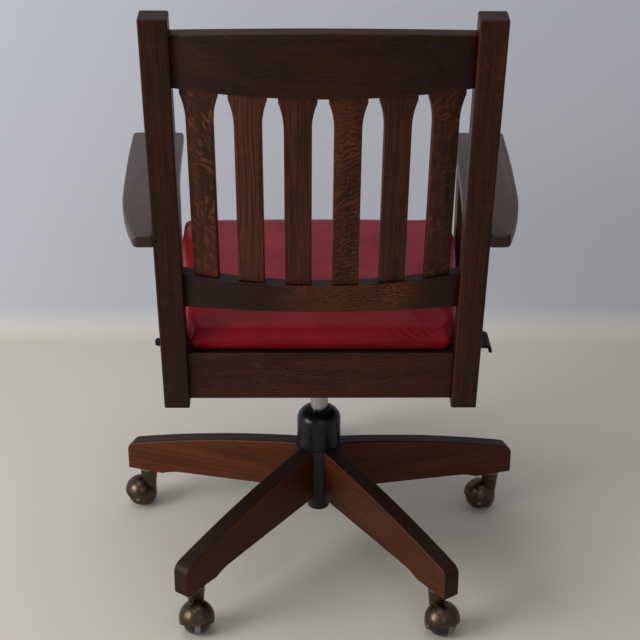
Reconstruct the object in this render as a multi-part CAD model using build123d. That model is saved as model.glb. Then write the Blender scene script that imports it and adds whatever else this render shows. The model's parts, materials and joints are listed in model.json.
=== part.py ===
from build123d import *

import os
from math import cos, degrees, radians, sin, sqrt, tan

# Swivel desk armchair in the mission style: a slatted back, flat arms and a padded
# seat on a tilt mechanism, a gas lift and a wooden five-legged base with ball casters.
# Millimetres. The origin is on the floor on the swivel axis, +Z is up and +Y is the
# way that the sitter faces, so -X is the sitter's left.

# Clearances
RUN = 0.05
PAD_GAP = 0.3
SIDE_GAP = 0.5

# Rear posts, measured along their lean from the foot
POST_WIDTH = 38.0
POST_DEPTH = 32.0
POST_LENGTH = 619.0
POST_SPAN = 392.6
POST_LEAN = 10.6
POST_FOOT_Y = -186.2
POST_FOOT_Z = 349.0
WOOD_EDGE = 3.0

# Bowed back rails, between the posts
RAIL_SET_IN = 10.0
RAIL_THICK = 19.5
RAIL_BOW = 33.0
TOP_RAIL_FOOT = 520.0
TOP_RAIL_END = 74.0
TOP_RAIL_CROWN = 16.5
LOW_RAIL_TOP = 234.0
LOW_RAIL_END = 57.0
LOW_RAIL_ARCH = 13.0
RAIL_EDGE = 2.5

# Back slats, flared under the top rail
SLAT_COUNT = 6
SLAT_PITCH = 65.5
SLAT_WAIST = 36.7
SLAT_FLARE = 50.7
SLAT_THICK = 10.0
FLARE_LAND = 8.0
FLARE_DROP = 46.0

# Seat frame
APRON_THICK = 20.0
APRON_TOP = 444.0
APRON_BOTTOM = 361.0
APRON_SET_IN = 6.0
FRONT_POST = 38.0
FRONT_POST_SPAN = 472.0
FRONT_POST_Y = 214.0
BOARD_THICK = 16.0
CLEAT = 22.0
CLEAT_END = 12.0

# Arms
ARM_TOP = 646.5
ARM_THICK = 19.0
ARM_FRONT_Y = 250.0
ARM_FRONT_IN = 228.3
ARM_FRONT_OUT = 314.0
ARM_WAIST_IN = 216.5
ARM_SIDE_OUT = 305.0
ARM_SIDE_Y = 70.0
ARM_ELBOW_OUT = 296.0
ARM_ELBOW_Y = -58.0
ARM_REAR_WRAP = 27.0
ARM_REAR_STEP = 2.0
ARM_CORNER = 9.0
ARM_EDGE = 2.4

# Cushion
CUSHION_REAR_Y = -188.0
CUSHION_FRONT_Y = 243.0
CUSHION_EASE = 1.8
CUSHION_WAIST = 6.0
CUSHION_SIDE = 52.0
CUSHION_CROWN = 5.0
CUSHION_BULGE = 12.0
CUSHION_NOSE = 18.0

# Five-legged base
BASE_TURN = 1.3
LEG_COUNT = 5
LEG_THICK = 28.0
LEG_REACH = 350.0
LEG_HUB_TOP = 185.0
LEG_CROWN = 6.0
LEG_TIP_TOP = 125.0
LEG_NOSE = 17.0
LEG_PAD_Z = 77.5
LEG_PAD_LENGTH = 66.0
LEG_SCOOP_LENGTH = 30.0
LEG_SCOOP = 8.0
LEG_HUB_UNDER = 98.5
LEG_EDGE = 3.0
HUB_RADIUS = 38.0
HUB_FLAT = 35.0
HUB_TOP = 186.0
HUB_BOTTOM = 96.0

# Casters
CASTER_INSET = 33.0
CASTER_TRAIL = 16.0
CASTER_HEADINGS = (-20.0, -84.0, 150.0, 174.0, -82.0)
WHEEL_RADIUS = 23.4
WHEEL_HALF_WIDTH = 20.0
TREAD_WIDTH = 9.0
TREAD_STEP = 0.25
HOOD_RADIUS = 27.6
HOOD_WALL = 2.4
HOOD_RISE = 5.0
HOOD_TILT = 24.5
HOOD_DROP = 5.0
NECK_RADIUS = 15.0
NECK_WAIST = 10.5
NECK_COLLAR = 11.0
STEM_RADIUS = 5.5
STEM_LENGTH = 36.0
SOCKET_WALL = 2.5
SOCKET_FLANGE = 2.0
WHEEL_AXLE = 3.0

# Gas lift
COLUMN_RADIUS = 22.0
COLUMN_WALL = 3.0
COLUMN_TIP_RADIUS = 18.5
COLUMN_BOTTOM = 63.0
COLUMN_FLOOR = 7.0
COLUMN_TOP = 236.0
BUSH_BOTTOM = 150.0
BUSH_FLANGE = 3.0
CYLINDER_RADIUS = 14.0
CYLINDER_WALL = 2.0
CYLINDER_BOTTOM = 112.0
CYLINDER_CAP = 8.0
CYLINDER_DROP = 20.0
CYLINDER_PLUG = 40.0
CYLINDER_PROUD = 3.0
SOCKET_DEPTH = 28.0
TAPER_STEP = 0.8
PISTON_ROD = 5.0
PISTON_Z = 200.0
PISTON_THICK = 12.0
BEARING_RADIUS = 11.0
BEARING_THICK = 6.0
VALVE_PIN = 3.0
VALVE_LENGTH = 20.0
VALVE_TRAVEL = 3.0
COVER_RADIUS = 36.0
COVER_WALL = 2.5
COVER_SHOULDER = 232.0
COVER_TOP = 251.0
COVER_MOUTH = 15.5

# Tilt mechanism
AXLE_Y = 60.0
AXLE_DROP = 7.0
AXLE_RADIUS = 6.0
HOUSING_HALF = 45.0
HOUSING_WALL = 3.0
HOUSING_REAR = -40.0
HOUSING_FRONT = 150.0
HOUSING_CLEAR = 13.0
HOUSING_DEPTH = 47.0
HOUSING_TRAY_DROP = 21.0
HOUSING_DEEP = 72.0
HOUSING_PRESS = 7.0
SOCKET_BOSS = 21.0
PLATE_HALF = 85.0
PLATE_THICK = 3.0
PLATE_CORNER = 14.0
EAR_RADIUS = 13.0
CROSS_RAIL_WIDTH = 44.0
CROSS_RAIL_THICK = 25.0
CROSS_RAIL_REAR = -85.0
CROSS_RAIL_FRONT = 160.0
TENSION_Y = 122.0
TENSION_BOLT = 5.0
TENSION_HEAD = 11.0
TENSION_HEAD_THICK = 7.0
TENSION_SLOT = 18.0
SPRING_RADIUS = 15.0
SPRING_WIRE = 4.0
SPRING_LENGTH = 41.0
SPRING_TURNS = 6
CUP_RADIUS = 20.0
CUP_THICK = 3.0
KNOB_RADIUS = 26.0
KNOB_THICK = 22.0
KNOB_GRIPS = 8
KNOB_GRIP_RADIUS = 6.0

# Hand levers
LEVER_SWEEP = 15.5
LEVER_ROD = 4.0
LEVER_REACH = 250.0
LEVER_INNER = 8.0
PADDLE_LENGTH = 48.0
PADDLE_WIDTH = 58.0
PADDLE_SHIFT = 16.0
PADDLE_THICK = 5.0
PADDLE_CURL = 9.0
PADDLE_LIP = 4.0
LOCK_REACH = 283.0
LOCK_KNOB = 6.8
LOCK_KNOB_LENGTH = 24.0
LOCK_CAM = 7.0
LOCK_CAM_LENGTH = 16.0

# Values that follow from the sizes above
LEAN = radians(POST_LEAN)
BACK = Plane(origin=(0, POST_FOOT_Y, POST_FOOT_Z), x_dir=(1, 0, 0), z_dir=(0, -cos(LEAN), -sin(LEAN)))
POST_X = (POST_SPAN + POST_WIDTH) / 2
HALF_SPAN = POST_SPAN / 2
BOW_RADIUS = (HALF_SPAN**2 + RAIL_BOW**2) / (2 * RAIL_BOW)
BOW_CENTRE = RAIL_BOW - RAIL_SET_IN - BOW_RADIUS
FRONT_POST_X = (FRONT_POST_SPAN + FRONT_POST) / 2
FRONT_POST_REAR = FRONT_POST_Y - FRONT_POST / 2
FRONT_APRON_REAR = FRONT_POST_Y + FRONT_POST / 2 - APRON_SET_IN - APRON_THICK
ARM_UNDER = ARM_TOP - ARM_THICK
FRAME_MIDDLE = (APRON_TOP + APRON_BOTTOM) / 2
PLATE_TOP = APRON_BOTTOM
PLATE_UNDER = PLATE_TOP - PLATE_THICK
HOUSING_RIM = PLATE_UNDER - HOUSING_CLEAR
HOUSING_FLOOR = HOUSING_RIM - HOUSING_DEPTH
HOUSING_TRAY = HOUSING_RIM - HOUSING_TRAY_DROP
AXLE_Z = HOUSING_RIM - AXLE_DROP
CYLINDER_TOP = HOUSING_RIM - CYLINDER_DROP
SOCKET_TOP = CYLINDER_TOP - CYLINDER_PROUD
SOCKET_BOTTOM = SOCKET_TOP - SOCKET_DEPTH
LEVER_Z = CYLINDER_TOP + VALVE_PIN + VALVE_TRAVEL + PAD_GAP + LEVER_ROD
SPRING_TOP = HOUSING_TRAY - PAD_GAP
CUP_TOP = SPRING_TOP - SPRING_LENGTH - PAD_GAP
KNOB_TOP = CUP_TOP - CUP_THICK - PAD_GAP
COLUMN_BORE = COLUMN_RADIUS - COLUMN_WALL
COLUMN_TIP_BORE = COLUMN_TIP_RADIUS - COLUMN_WALL
BEARING_Z = COLUMN_BOTTOM + COLUMN_FLOOR + RUN
CASTER_RING = LEG_REACH - CASTER_INSET
STEM_BORE = STEM_RADIUS + RUN
SOCKET_RADIUS = STEM_BORE + SOCKET_WALL
SOCKET_Z = LEG_PAD_Z - SOCKET_FLANGE
STEM_TOP = SOCKET_Z + STEM_LENGTH
NECK_TOP = SOCKET_Z - PAD_GAP


def on_back(shape):
    """Place a shape drawn as across, along the posts and rearward on the leaning back."""
    return BACK.location * shape


def back_y(level, inset):
    """Give the fore-and-aft place, at a level, of a plane set in from the posts' rear faces."""
    return POST_FOOT_Y - (level - POST_FOOT_Z) * tan(LEAN) + inset / cos(LEAN)


def behind_plane(inset, across, middle):
    """Give a block that fills all behind a plane set in from the posts' rear faces."""
    block = Box(across, 2 * POST_LENGTH, POST_LENGTH, align=(Align.CENTER, Align.CENTER, Align.MIN))
    return on_back(Pos(middle, 0, -inset) * block)


def rounded_bar(across, along, deep, radius):
    """Give an upright bar with its long edges rounded, centred, standing on its foot."""
    bar = Box(across, deep, along, align=(Align.CENTER, Align.CENTER, Align.MIN))
    return fillet(bar.edges().filter_by(Axis.Z), radius)


def both_sides(shape):
    """Give a shape of the sitter's right with its mirror image, left one first."""
    return mirror(shape, about=Plane.YZ), shape


def rear_post():
    """Right rear post, square in section and leaning back."""
    blank = Box(POST_WIDTH, POST_LENGTH, POST_DEPTH, align=(Align.CENTER, Align.MIN, Align.MAX))
    post = fillet(blank.edges().filter_by(Axis.Y), WOOD_EDGE)
    post = fillet(post.faces().sort_by(Axis.Y)[-1].edges(), WOOD_EDGE * 0.8)
    return on_back(Pos(POST_X, 0, 0) * post)


def bow_at(across, depth):
    """Give how far rearward the bow lies at a place across the back, at a depth in the rail."""
    return BOW_CENTRE + sqrt((BOW_RADIUS - depth) ** 2 - across**2)


def bowed_rail(outline):
    """Bend a rail's outline, drawn as across and along the posts, to the bow of the back."""
    rear_end, rear_mid = bow_at(HALF_SPAN, 0), bow_at(0, 0)
    front_end, front_mid = bow_at(HALF_SPAN, RAIL_THICK), bow_at(0, RAIL_THICK)
    rear = ThreePointArc((-HALF_SPAN, rear_end), (0, rear_mid), (HALF_SPAN, rear_end))
    front = ThreePointArc((HALF_SPAN, front_end), (0, front_mid), (-HALF_SPAN, front_end))
    plan = make_face([rear, Line(rear @ 1, front @ 0), front, Line(front @ 1, rear @ 0)])
    bent = extrude(Plane.XZ * plan, amount=-POST_LENGTH)
    rail = bent & extrude(make_face(outline), amount=BOW_RADIUS / 2, both=True)
    long_edges = rail.edges().filter_by(lambda edge: abs(edge.center().X) < HALF_SPAN - RAIL_EDGE)
    return on_back(fillet(long_edges, RAIL_EDGE))


def top_rail():
    """Wide crest rail with a gently crowned top edge."""
    end = TOP_RAIL_FOOT + TOP_RAIL_END
    crown = ThreePointArc((HALF_SPAN, end), (0, end + TOP_RAIL_CROWN), (-HALF_SPAN, end))
    foot = TOP_RAIL_FOOT
    sides = Polyline((-HALF_SPAN, end), (-HALF_SPAN, foot), (HALF_SPAN, foot), (HALF_SPAN, end))
    return bowed_rail([crown, sides])


def lower_back_rail():
    """Lower rail with an arched under edge."""
    foot = LOW_RAIL_TOP - LOW_RAIL_END
    arch = ThreePointArc((-HALF_SPAN, foot), (0, foot + LOW_RAIL_ARCH), (HALF_SPAN, foot))
    top = LOW_RAIL_TOP
    sides = Polyline((HALF_SPAN, foot), (HALF_SPAN, top), (-HALF_SPAN, top), (-HALF_SPAN, foot))
    return bowed_rail([arch, sides])


def back_slat(index):
    """One slat, counted from the sitter's left, set square to the bow."""
    waist, flare = SLAT_WAIST / 2, SLAT_FLARE / 2
    neck, land = TOP_RAIL_FOOT - FLARE_DROP, TOP_RAIL_FOOT - FLARE_LAND
    outline = [
        Polyline((-waist, neck), (-waist, LOW_RAIL_TOP), (waist, LOW_RAIL_TOP), (waist, neck)),
        TangentArc((waist, neck), (flare, land), tangent=(0, 1)),
        Polyline((flare, land), (flare, TOP_RAIL_FOOT), (-flare, TOP_RAIL_FOOT), (-flare, land)),
        TangentArc((-waist, neck), (-flare, land), tangent=(0, 1)),
    ]
    slat = extrude(make_face(outline), amount=SLAT_THICK / 2, both=True)
    radius = BOW_RADIUS - RAIL_THICK / 2
    turn = (index - (SLAT_COUNT - 1) / 2) * SLAT_PITCH / radius
    place = Pos(radius * sin(turn), 0, BOW_CENTRE + radius * cos(turn)) * Rot(0, degrees(turn), 0)
    return on_back(place * slat)


def rear_apron():
    """Rear board of the seat frame, leaning with the posts, its edges cut level."""
    board = Box(POST_SPAN, POST_LENGTH, APRON_THICK, align=(Align.CENTER, Align.CENTER, Align.MAX))
    level = Box(POST_SPAN, POST_LENGTH, APRON_TOP - APRON_BOTTOM)
    middle = Pos(0, POST_FOOT_Y, FRAME_MIDDLE)
    return on_back(Pos(0, 0, -RAIL_SET_IN) * board) & (middle * level)


def side_outer_x(y):
    """Give the place of the side apron's outer face at a distance forward."""
    rear_y = back_y(FRAME_MIDDLE, POST_DEPTH)
    rear_x = HALF_SPAN + POST_WIDTH - APRON_SET_IN
    front_x = FRONT_POST_SPAN / 2 + FRONT_POST - APRON_SET_IN
    return rear_x + (front_x - rear_x) * (y - rear_y) / (FRONT_POST_REAR - rear_y)


def side_strip(rear_y, front_y, outset, width, bottom, top):
    """Give a strip along the right side apron, its outer face outset inward from the apron's own."""
    plan = Polyline(
        (side_outer_x(rear_y) - outset, rear_y),
        (side_outer_x(front_y) - outset, front_y),
        (side_outer_x(front_y) - outset - width, front_y),
        (side_outer_x(rear_y) - outset - width, rear_y),
        close=True,
    )
    return extrude(Pos(0, 0, bottom) * make_face(plan), amount=top - bottom)


def side_apron():
    """Right board of the seat frame, from the leaning rear post to the front post."""
    strip = side_strip(POST_FOOT_Y - POST_DEPTH, FRONT_POST_REAR, 0, APRON_THICK, APRON_BOTTOM, APRON_TOP)
    return strip - behind_plane(POST_DEPTH, 2 * POST_SPAN, POST_X)


def front_apron():
    """Front board of the seat frame."""
    board = Box(FRONT_POST_SPAN, APRON_THICK, APRON_TOP - APRON_BOTTOM)
    return Pos(0, FRONT_APRON_REAR + APRON_THICK / 2, FRAME_MIDDLE) * board


def front_post():
    """Right front post, which carries the arm."""
    height = ARM_UNDER - POST_FOOT_Z
    post = rounded_bar(FRONT_POST, height, FRONT_POST, WOOD_EDGE)
    return Pos(FRONT_POST_X, FRONT_POST_Y, POST_FOOT_Z) * post


def arm(side):
    """Arm of the right (1) or left (-1) side, a flat paddle notched round the rear post."""
    rear_y = back_y(ARM_UNDER + ARM_THICK / 2, 0)
    inner, outer = side * (HALF_SPAN + ARM_REAR_STEP), side * (HALF_SPAN + POST_WIDTH + ARM_REAR_WRAP)
    notch_y = back_y(ARM_TOP, POST_DEPTH / 2)
    waist_y = (ARM_FRONT_Y + notch_y) / 2
    front_in, front_out = (side * ARM_FRONT_IN, ARM_FRONT_Y), (side * ARM_FRONT_OUT, ARM_FRONT_Y)
    flank = ThreePointArc(front_out, (side * ARM_SIDE_OUT, ARM_SIDE_Y), (side * ARM_ELBOW_OUT, ARM_ELBOW_Y))
    outline = [
        Line(front_in, front_out),
        flank,
        TangentArc(flank @ 1, (outer, rear_y), tangent=flank % 1),
        Polyline((outer, rear_y), (inner, rear_y), (inner, notch_y)),
        ThreePointArc((inner, notch_y), (side * ARM_WAIST_IN, waist_y), front_in),
    ]
    plan = make_face(outline)
    front_corners = plan.vertices().sort_by(Axis.Y)[-2:]
    rear_corner = [v for v in plan.vertices() if abs(v.X - outer) < SIDE_GAP]
    plan = fillet(front_corners + rear_corner, ARM_CORNER)
    board = extrude(Pos(0, 0, ARM_UNDER) * plan, amount=ARM_THICK, dir=(0, 0, 1))
    rims = board.edges().group_by(Axis.Z)
    board = chamfer(rims[0] + rims[-1], ARM_EDGE)
    return board - behind_plane(POST_DEPTH, POST_WIDTH, side * POST_X)


def seat_board():
    """Plywood board that the cushion lies on, level with the top of the seat frame."""
    bottom = APRON_TOP - BOARD_THICK
    rear_y = back_y(bottom, RAIL_SET_IN + APRON_THICK) + SIDE_GAP
    front_y = FRONT_APRON_REAR - SIDE_GAP
    rear_half, front_half = HALF_SPAN - SIDE_GAP, FRONT_POST_SPAN / 2 - SIDE_GAP
    plan = Polyline(
        (-rear_half, rear_y), (rear_half, rear_y), (front_half, front_y), (-front_half, front_y), close=True
    )
    return extrude(Pos(0, 0, bottom) * make_face(plan), amount=BOARD_THICK)


def seat_cleats():
    """Strips on the side aprons that carry the seat board."""
    top = APRON_TOP - BOARD_THICK
    rear_y = back_y(APRON_BOTTOM, POST_DEPTH) + CLEAT_END
    strip = side_strip(rear_y, FRONT_POST_REAR - CLEAT_END, APRON_THICK, CLEAT, top - CLEAT, top)
    return Compound(children=[*both_sides(strip)])


def cushion_section(y, half, foot, side, crown):
    """Outline of the cushion at one distance forward: flat under, bulged sides, crowned top."""
    edge = half - CUSHION_BULGE
    top = foot + side
    outline = [
        Line((-edge, foot), (edge, foot)),
        ThreePointArc((edge, foot), (half, foot + side / 2), (edge, top)),
        ThreePointArc((edge, top), (0, top + crown), (-edge, top)),
        ThreePointArc((-edge, top), (-half, foot + side / 2), (-edge, foot)),
    ]
    return Plane(origin=(0, y, 0), x_dir=(1, 0, 0), z_dir=(0, -1, 0)) * make_face(outline)


def seat_cushion():
    """Stuffed leather cushion: crowned, narrower between its corners, with rounded ends."""
    foot = APRON_TOP + PAD_GAP
    rear_half, front_half = HALF_SPAN - CUSHION_EASE, FRONT_POST_SPAN / 2 - CUSHION_EASE
    length = CUSHION_FRONT_Y - CUSHION_REAR_Y
    nose = CUSHION_NOSE / length
    sections = []
    rear_shares = (0.0, nose / 3, nose, 2 * nose, 4 * nose, 0.33)
    for share in (*rear_shares, *(1 - share for share in reversed(rear_shares))):
        end = max(0.0, 1 - min(share, 1 - share) / nose)
        swell = 4 * share * (1 - share)
        straight = rear_half + (front_half - rear_half) * share
        half = straight - CUSHION_WAIST * swell - CUSHION_BULGE * end**2
        side = CUSHION_SIDE * (1 - end**2 / 8)
        lift = (CUSHION_SIDE - side) / 4
        crown = CUSHION_CROWN * (1 + swell) / 2 * (1 - end / 2)
        sections.append(cushion_section(CUSHION_REAR_Y + length * share, half, foot + lift, side, crown))
    under = Box(4 * front_half, 4 * front_half, CUSHION_SIDE, align=(Align.CENTER, Align.CENTER, Align.MAX))
    return loft(sections) - Pos(0, 0, foot) * under


def cross_rails():
    """Two rails across the seat frame that the tilt plate is bolted to."""
    rails = []
    for middle in (CROSS_RAIL_REAR, CROSS_RAIL_FRONT):
        ends = [middle - CROSS_RAIL_WIDTH / 2, middle + CROSS_RAIL_WIDTH / 2]
        rear_x, front_x = (side_outer_x(y) - APRON_THICK for y in ends)
        corners = ((-rear_x, ends[0]), (rear_x, ends[0]), (front_x, ends[1]), (-front_x, ends[1]))
        plan = Polyline(*corners, close=True)
        rails.append(extrude(Pos(0, 0, APRON_BOTTOM) * make_face(plan), amount=CROSS_RAIL_THICK))
    return Compound(children=rails)


def seat_plate():
    """Steel plate under the cross rails, with an ear each side for the tilt axle."""
    rear, front = CROSS_RAIL_REAR - CROSS_RAIL_WIDTH / 2, CROSS_RAIL_FRONT + CROSS_RAIL_WIDTH / 2
    sheet = Box(2 * PLATE_HALF, front - rear, PLATE_THICK)
    sheet = fillet(sheet.edges().filter_by(Axis.Z), PLATE_CORNER)
    plate = Pos(0, (front + rear) / 2, PLATE_UNDER + PLATE_THICK / 2) * sheet
    ear_x = HOUSING_HALF + SIDE_GAP + PLATE_THICK / 2
    flare = 2 * EAR_RADIUS
    drop = AXLE_Z - PLATE_UNDER
    web = Polyline((-flare, 0), (flare, 0), (EAR_RADIUS, drop), (-EAR_RADIUS, drop), close=True)
    ear = extrude(make_face(web), amount=PLATE_THICK / 2, both=True)
    ear += Pos(0, drop, 0) * Cylinder(EAR_RADIUS, PLATE_THICK)
    for side in (-1, 1):
        plate += Pos(side * ear_x, AXLE_Y, PLATE_UNDER) * (Plane.YZ.location * ear)
    plate -= Pos(0, AXLE_Y, AXLE_Z) * Rot(0, 90, 0) * Cylinder(AXLE_RADIUS + RUN, 4 * HOUSING_HALF)
    return plate - Pos(0, TENSION_Y, PLATE_TOP) * Cylinder(TENSION_BOLT, 4 * PLATE_THICK)


def tension_bolt():
    """Bolt that hangs from the plate through the spring and carries the knob."""
    bottom = KNOB_TOP - KNOB_THICK
    shank = Cylinder(TENSION_BOLT, PLATE_TOP - bottom, align=(Align.CENTER, Align.CENTER, Align.MIN))
    hexagon = RegularPolygon(TENSION_HEAD, 6)
    head = extrude(Pos(0, 0, PLATE_TOP) * hexagon, amount=TENSION_HEAD_THICK)
    return Pos(0, TENSION_Y, 0) * (Pos(0, 0, bottom) * shank + head)


def spring_cup():
    """Dished washer between the spring and the knob."""
    disc = Cylinder(CUP_RADIUS, CUP_THICK, align=(Align.CENTER, Align.CENTER, Align.MAX))
    bore = Cylinder(TENSION_BOLT, 4 * CUP_THICK)
    return Pos(0, TENSION_Y, CUP_TOP) * (disc - bore)


def tension_knob():
    """Hand knob with finger hollows round its rim."""
    knob = Cylinder(KNOB_RADIUS, KNOB_THICK, align=(Align.CENTER, Align.CENTER, Align.MAX))
    knob = fillet(knob.edges().filter_by(GeomType.CIRCLE), WOOD_EDGE)
    for turn in range(KNOB_GRIPS):
        grip = Pos(KNOB_RADIUS + KNOB_GRIP_RADIUS / 2, 0, 0) * Cylinder(KNOB_GRIP_RADIUS, 4 * KNOB_THICK)
        knob -= Rot(0, 0, 360 * turn / KNOB_GRIPS) * grip
    knob -= Cylinder(TENSION_BOLT + RUN, 4 * KNOB_THICK)
    return Pos(0, TENSION_Y, KNOB_TOP) * knob


def spring_points():
    """Give the ends of each half turn of the tilt spring with the way the wire runs there."""
    rise = SPRING_LENGTH - SPRING_WIRE
    slope = rise / SPRING_TURNS / (2 * 180)
    bottom = SPRING_TOP - SPRING_LENGTH + SPRING_WIRE / 2
    points = []
    for half_turn in range(2 * SPRING_TURNS + 1):
        angle = radians(180 * half_turn)
        place = Vector(
            SPRING_RADIUS * cos(angle),
            TENSION_Y + SPRING_RADIUS * sin(angle),
            bottom + rise * half_turn / (2 * SPRING_TURNS),
        )
        climb = 2 * 180 * slope / radians(360)
        way = Vector(-SPRING_RADIUS * sin(angle), SPRING_RADIUS * cos(angle), climb).normalized()
        points.append((place, way))
    return points


def biarc(start, start_way, end, end_way):
    """Join two points by two arcs that meet smoothly and leave along the given ways."""
    chord = end - start
    both = start_way + end_way
    square = 2 * (start_way.dot(end_way) - 1)
    linear = -2 * chord.dot(both)
    reach = (-linear - sqrt(linear**2 - 4 * square * chord.dot(chord))) / (2 * square)
    meet = (start + start_way * reach + end - end_way * reach) * 0.5
    first = TangentArc(start, meet, tangent=start_way)
    return [first, TangentArc(meet, end, tangent=first % 1)]


def tilt_spring():
    """Coil spring under the housing's tray, wound round the tension bolt."""
    points = spring_points()
    arcs = []
    for (start, start_way), (end, end_way) in zip(points, points[1:]):
        arcs += biarc(start, start_way, end, end_way)
    path = Wire(arcs)
    section = Plane(origin=path @ 0, z_dir=path % 0) * Circle(SPRING_WIRE / 2)
    report_spring_gap(path)
    return sweep(section, path=path)


def report_spring_gap(path):
    """Print the least gap between one turn of the spring and the next."""
    steps = 40 * SPRING_TURNS
    places = [path @ (step / steps) for step in range(steps + 1)]
    apart = steps // SPRING_TURNS // 2
    pairs = [(a, b) for a in range(steps + 1) for b in range(a + apart, steps + 1)]
    gap = min((places[a] - places[b]).length for a, b in pairs) - SPRING_WIRE
    print(f"tilt spring: least gap to itself {gap:.2f} mm")


def housing_profile():
    """Side view of the tilt housing: a deep tray over the lift, a shallow one at the front."""
    slope = HOUSING_TRAY - HOUSING_FLOOR
    outline = Polyline(
        (HOUSING_REAR, HOUSING_FLOOR),
        (HOUSING_DEEP, HOUSING_FLOOR),
        (HOUSING_DEEP + slope, HOUSING_TRAY),
        (HOUSING_FRONT, HOUSING_TRAY),
        (HOUSING_FRONT, HOUSING_RIM),
        (AXLE_Y - HOUSING_HALF, HOUSING_RIM),
        (HOUSING_REAR, CYLINDER_TOP),
        close=True,
    )
    profile = make_face(outline)
    low_corners = [v for v in profile.vertices() if v.Y < HOUSING_RIM - HOUSING_WALL and v.Y != CYLINDER_TOP]
    return fillet(low_corners, HOUSING_PRESS)


def taper_plug(radius, bottom, top):
    """Give the tapered seat between the lift's cylinder and the housing, from bottom to top."""
    narrow = TAPER_STEP / (CYLINDER_TOP - SOCKET_BOTTOM)
    low, high = radius - narrow * (bottom - SOCKET_BOTTOM), radius - narrow * (top - SOCKET_BOTTOM)
    cone = Cone(low, high, top - bottom, align=(Align.CENTER, Align.CENTER, Align.MIN))
    return Pos(0, 0, bottom) * cone


def tilt_housing():
    """Pressed steel housing that sits on the gas lift and holds the tilt axle."""
    profile = housing_profile()
    outer = extrude(Plane.YZ * profile, amount=HOUSING_HALF, both=True)
    hollow = extrude(Plane.YZ * offset(profile, -HOUSING_WALL), amount=HOUSING_HALF - HOUSING_WALL, both=True)
    housing = outer - hollow - Pos(0, 0, 2 * HOUSING_WALL) * hollow
    boss = Cylinder(SOCKET_BOSS, SOCKET_TOP - SOCKET_BOTTOM, align=(Align.CENTER, Align.CENTER, Align.MIN))
    housing += Pos(0, 0, SOCKET_BOTTOM) * boss
    housing -= taper_plug(CYLINDER_RADIUS, SOCKET_BOTTOM, SOCKET_TOP)
    housing -= Pos(0, AXLE_Y, AXLE_Z) * Rot(0, 90, 0) * Cylinder(AXLE_RADIUS, 4 * HOUSING_HALF)
    slot = SlotOverall(TENSION_SLOT, 2 * (TENSION_BOLT + SIDE_GAP))
    slot = extrude(slot, amount=2 * HOUSING_WALL, both=True)
    ahead = TENSION_SLOT / 2 - TENSION_BOLT - SIDE_GAP - 1
    housing -= Pos(0, TENSION_Y + ahead, HOUSING_TRAY) * Rot(0, 0, 90) * slot
    for sweep_angle, reach in ((LEVER_SWEEP, LEVER_REACH), (180 - LEVER_SWEEP, LOCK_REACH)):
        passage = Cylinder(LEVER_ROD + PAD_GAP, reach, align=(Align.CENTER, Align.CENTER, Align.MIN))
        housing -= Pos(0, 0, LEVER_Z) * Rot(0, 0, sweep_angle) * Rot(0, 90, 0) * passage
    return housing


def tilt_axle():
    """Pin across the housing and the ears of the seat plate."""
    half = HOUSING_HALF + SIDE_GAP + PLATE_THICK + SIDE_GAP
    return Pos(0, AXLE_Y, AXLE_Z) * Rot(0, 90, 0) * Cylinder(AXLE_RADIUS, 2 * half)


def height_lever():
    """Rod from the gas lift's valve out past the right side of the seat, with a curled paddle."""
    rod = Cylinder(LEVER_ROD, LEVER_REACH + LEVER_INNER, align=(Align.CENTER, Align.CENTER, Align.MIN))
    rod = Pos(-LEVER_INNER, 0, 0) * Rot(0, 90, 0) * rod
    tip = PADDLE_LENGTH
    bend, start = tip - PADDLE_CURL, -PADDLE_CURL
    top = PADDLE_THICK / 2
    low = top - PADDLE_CURL
    inner = PADDLE_CURL - PADDLE_THICK
    slant = sqrt(0.5)
    outline = [
        Polyline((bend, top), (start, top), (start, -top), (bend, -top)),
        ThreePointArc((bend, top), (bend + PADDLE_CURL * slant, low + PADDLE_CURL * slant), (tip, low)),
        Polyline((tip, low), (tip, low - PADDLE_LIP), (bend + inner, low - PADDLE_LIP), (bend + inner, low)),
        ThreePointArc((bend + inner, low), (bend + inner * slant, low + inner * slant), (bend, -top)),
    ]
    paddle = extrude(Plane.XZ * make_face(outline), amount=PADDLE_WIDTH / 2, both=True)
    square = Pos(LEVER_REACH, 0, 0) * Rot(0, 0, -LEVER_SWEEP) * Pos(0, PADDLE_SHIFT, 0)
    lever = rod + square * paddle
    return Pos(0, 0, LEVER_Z) * Rot(0, 0, LEVER_SWEEP) * lever


def tilt_lock_lever():
    """Rod on the left with a cam inside the housing and a barrel knob at its end."""
    start = CYLINDER_RADIUS + LOCK_CAM
    rod = Cylinder(LEVER_ROD, LOCK_REACH - start, align=(Align.CENTER, Align.CENTER, Align.MIN))
    cam = Pos(LOCK_CAM - LEVER_ROD, 0, 0) * Cylinder(
        LEVER_ROD, LOCK_CAM_LENGTH, align=(Align.CENTER, Align.CENTER, Align.MIN)
    )
    knob = Cylinder(LOCK_KNOB, LOCK_KNOB_LENGTH, align=(Align.CENTER, Align.CENTER, Align.MAX))
    knob = fillet(knob.edges().filter_by(GeomType.CIRCLE), LOCK_KNOB / 2)
    lever = rod + cam + Pos(0, 0, LOCK_REACH - start) * knob
    return Pos(0, 0, LEVER_Z) * Rot(0, 0, 180 - LEVER_SWEEP) * Pos(start, 0, 0) * Rot(0, 90, 0) * lever


def turned(*points):
    """Turn an outline of radius and height points about the swivel axis."""
    return revolve(Plane.XZ * make_face(Polyline(*points, close=True)), axis=Axis.Z)


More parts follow.
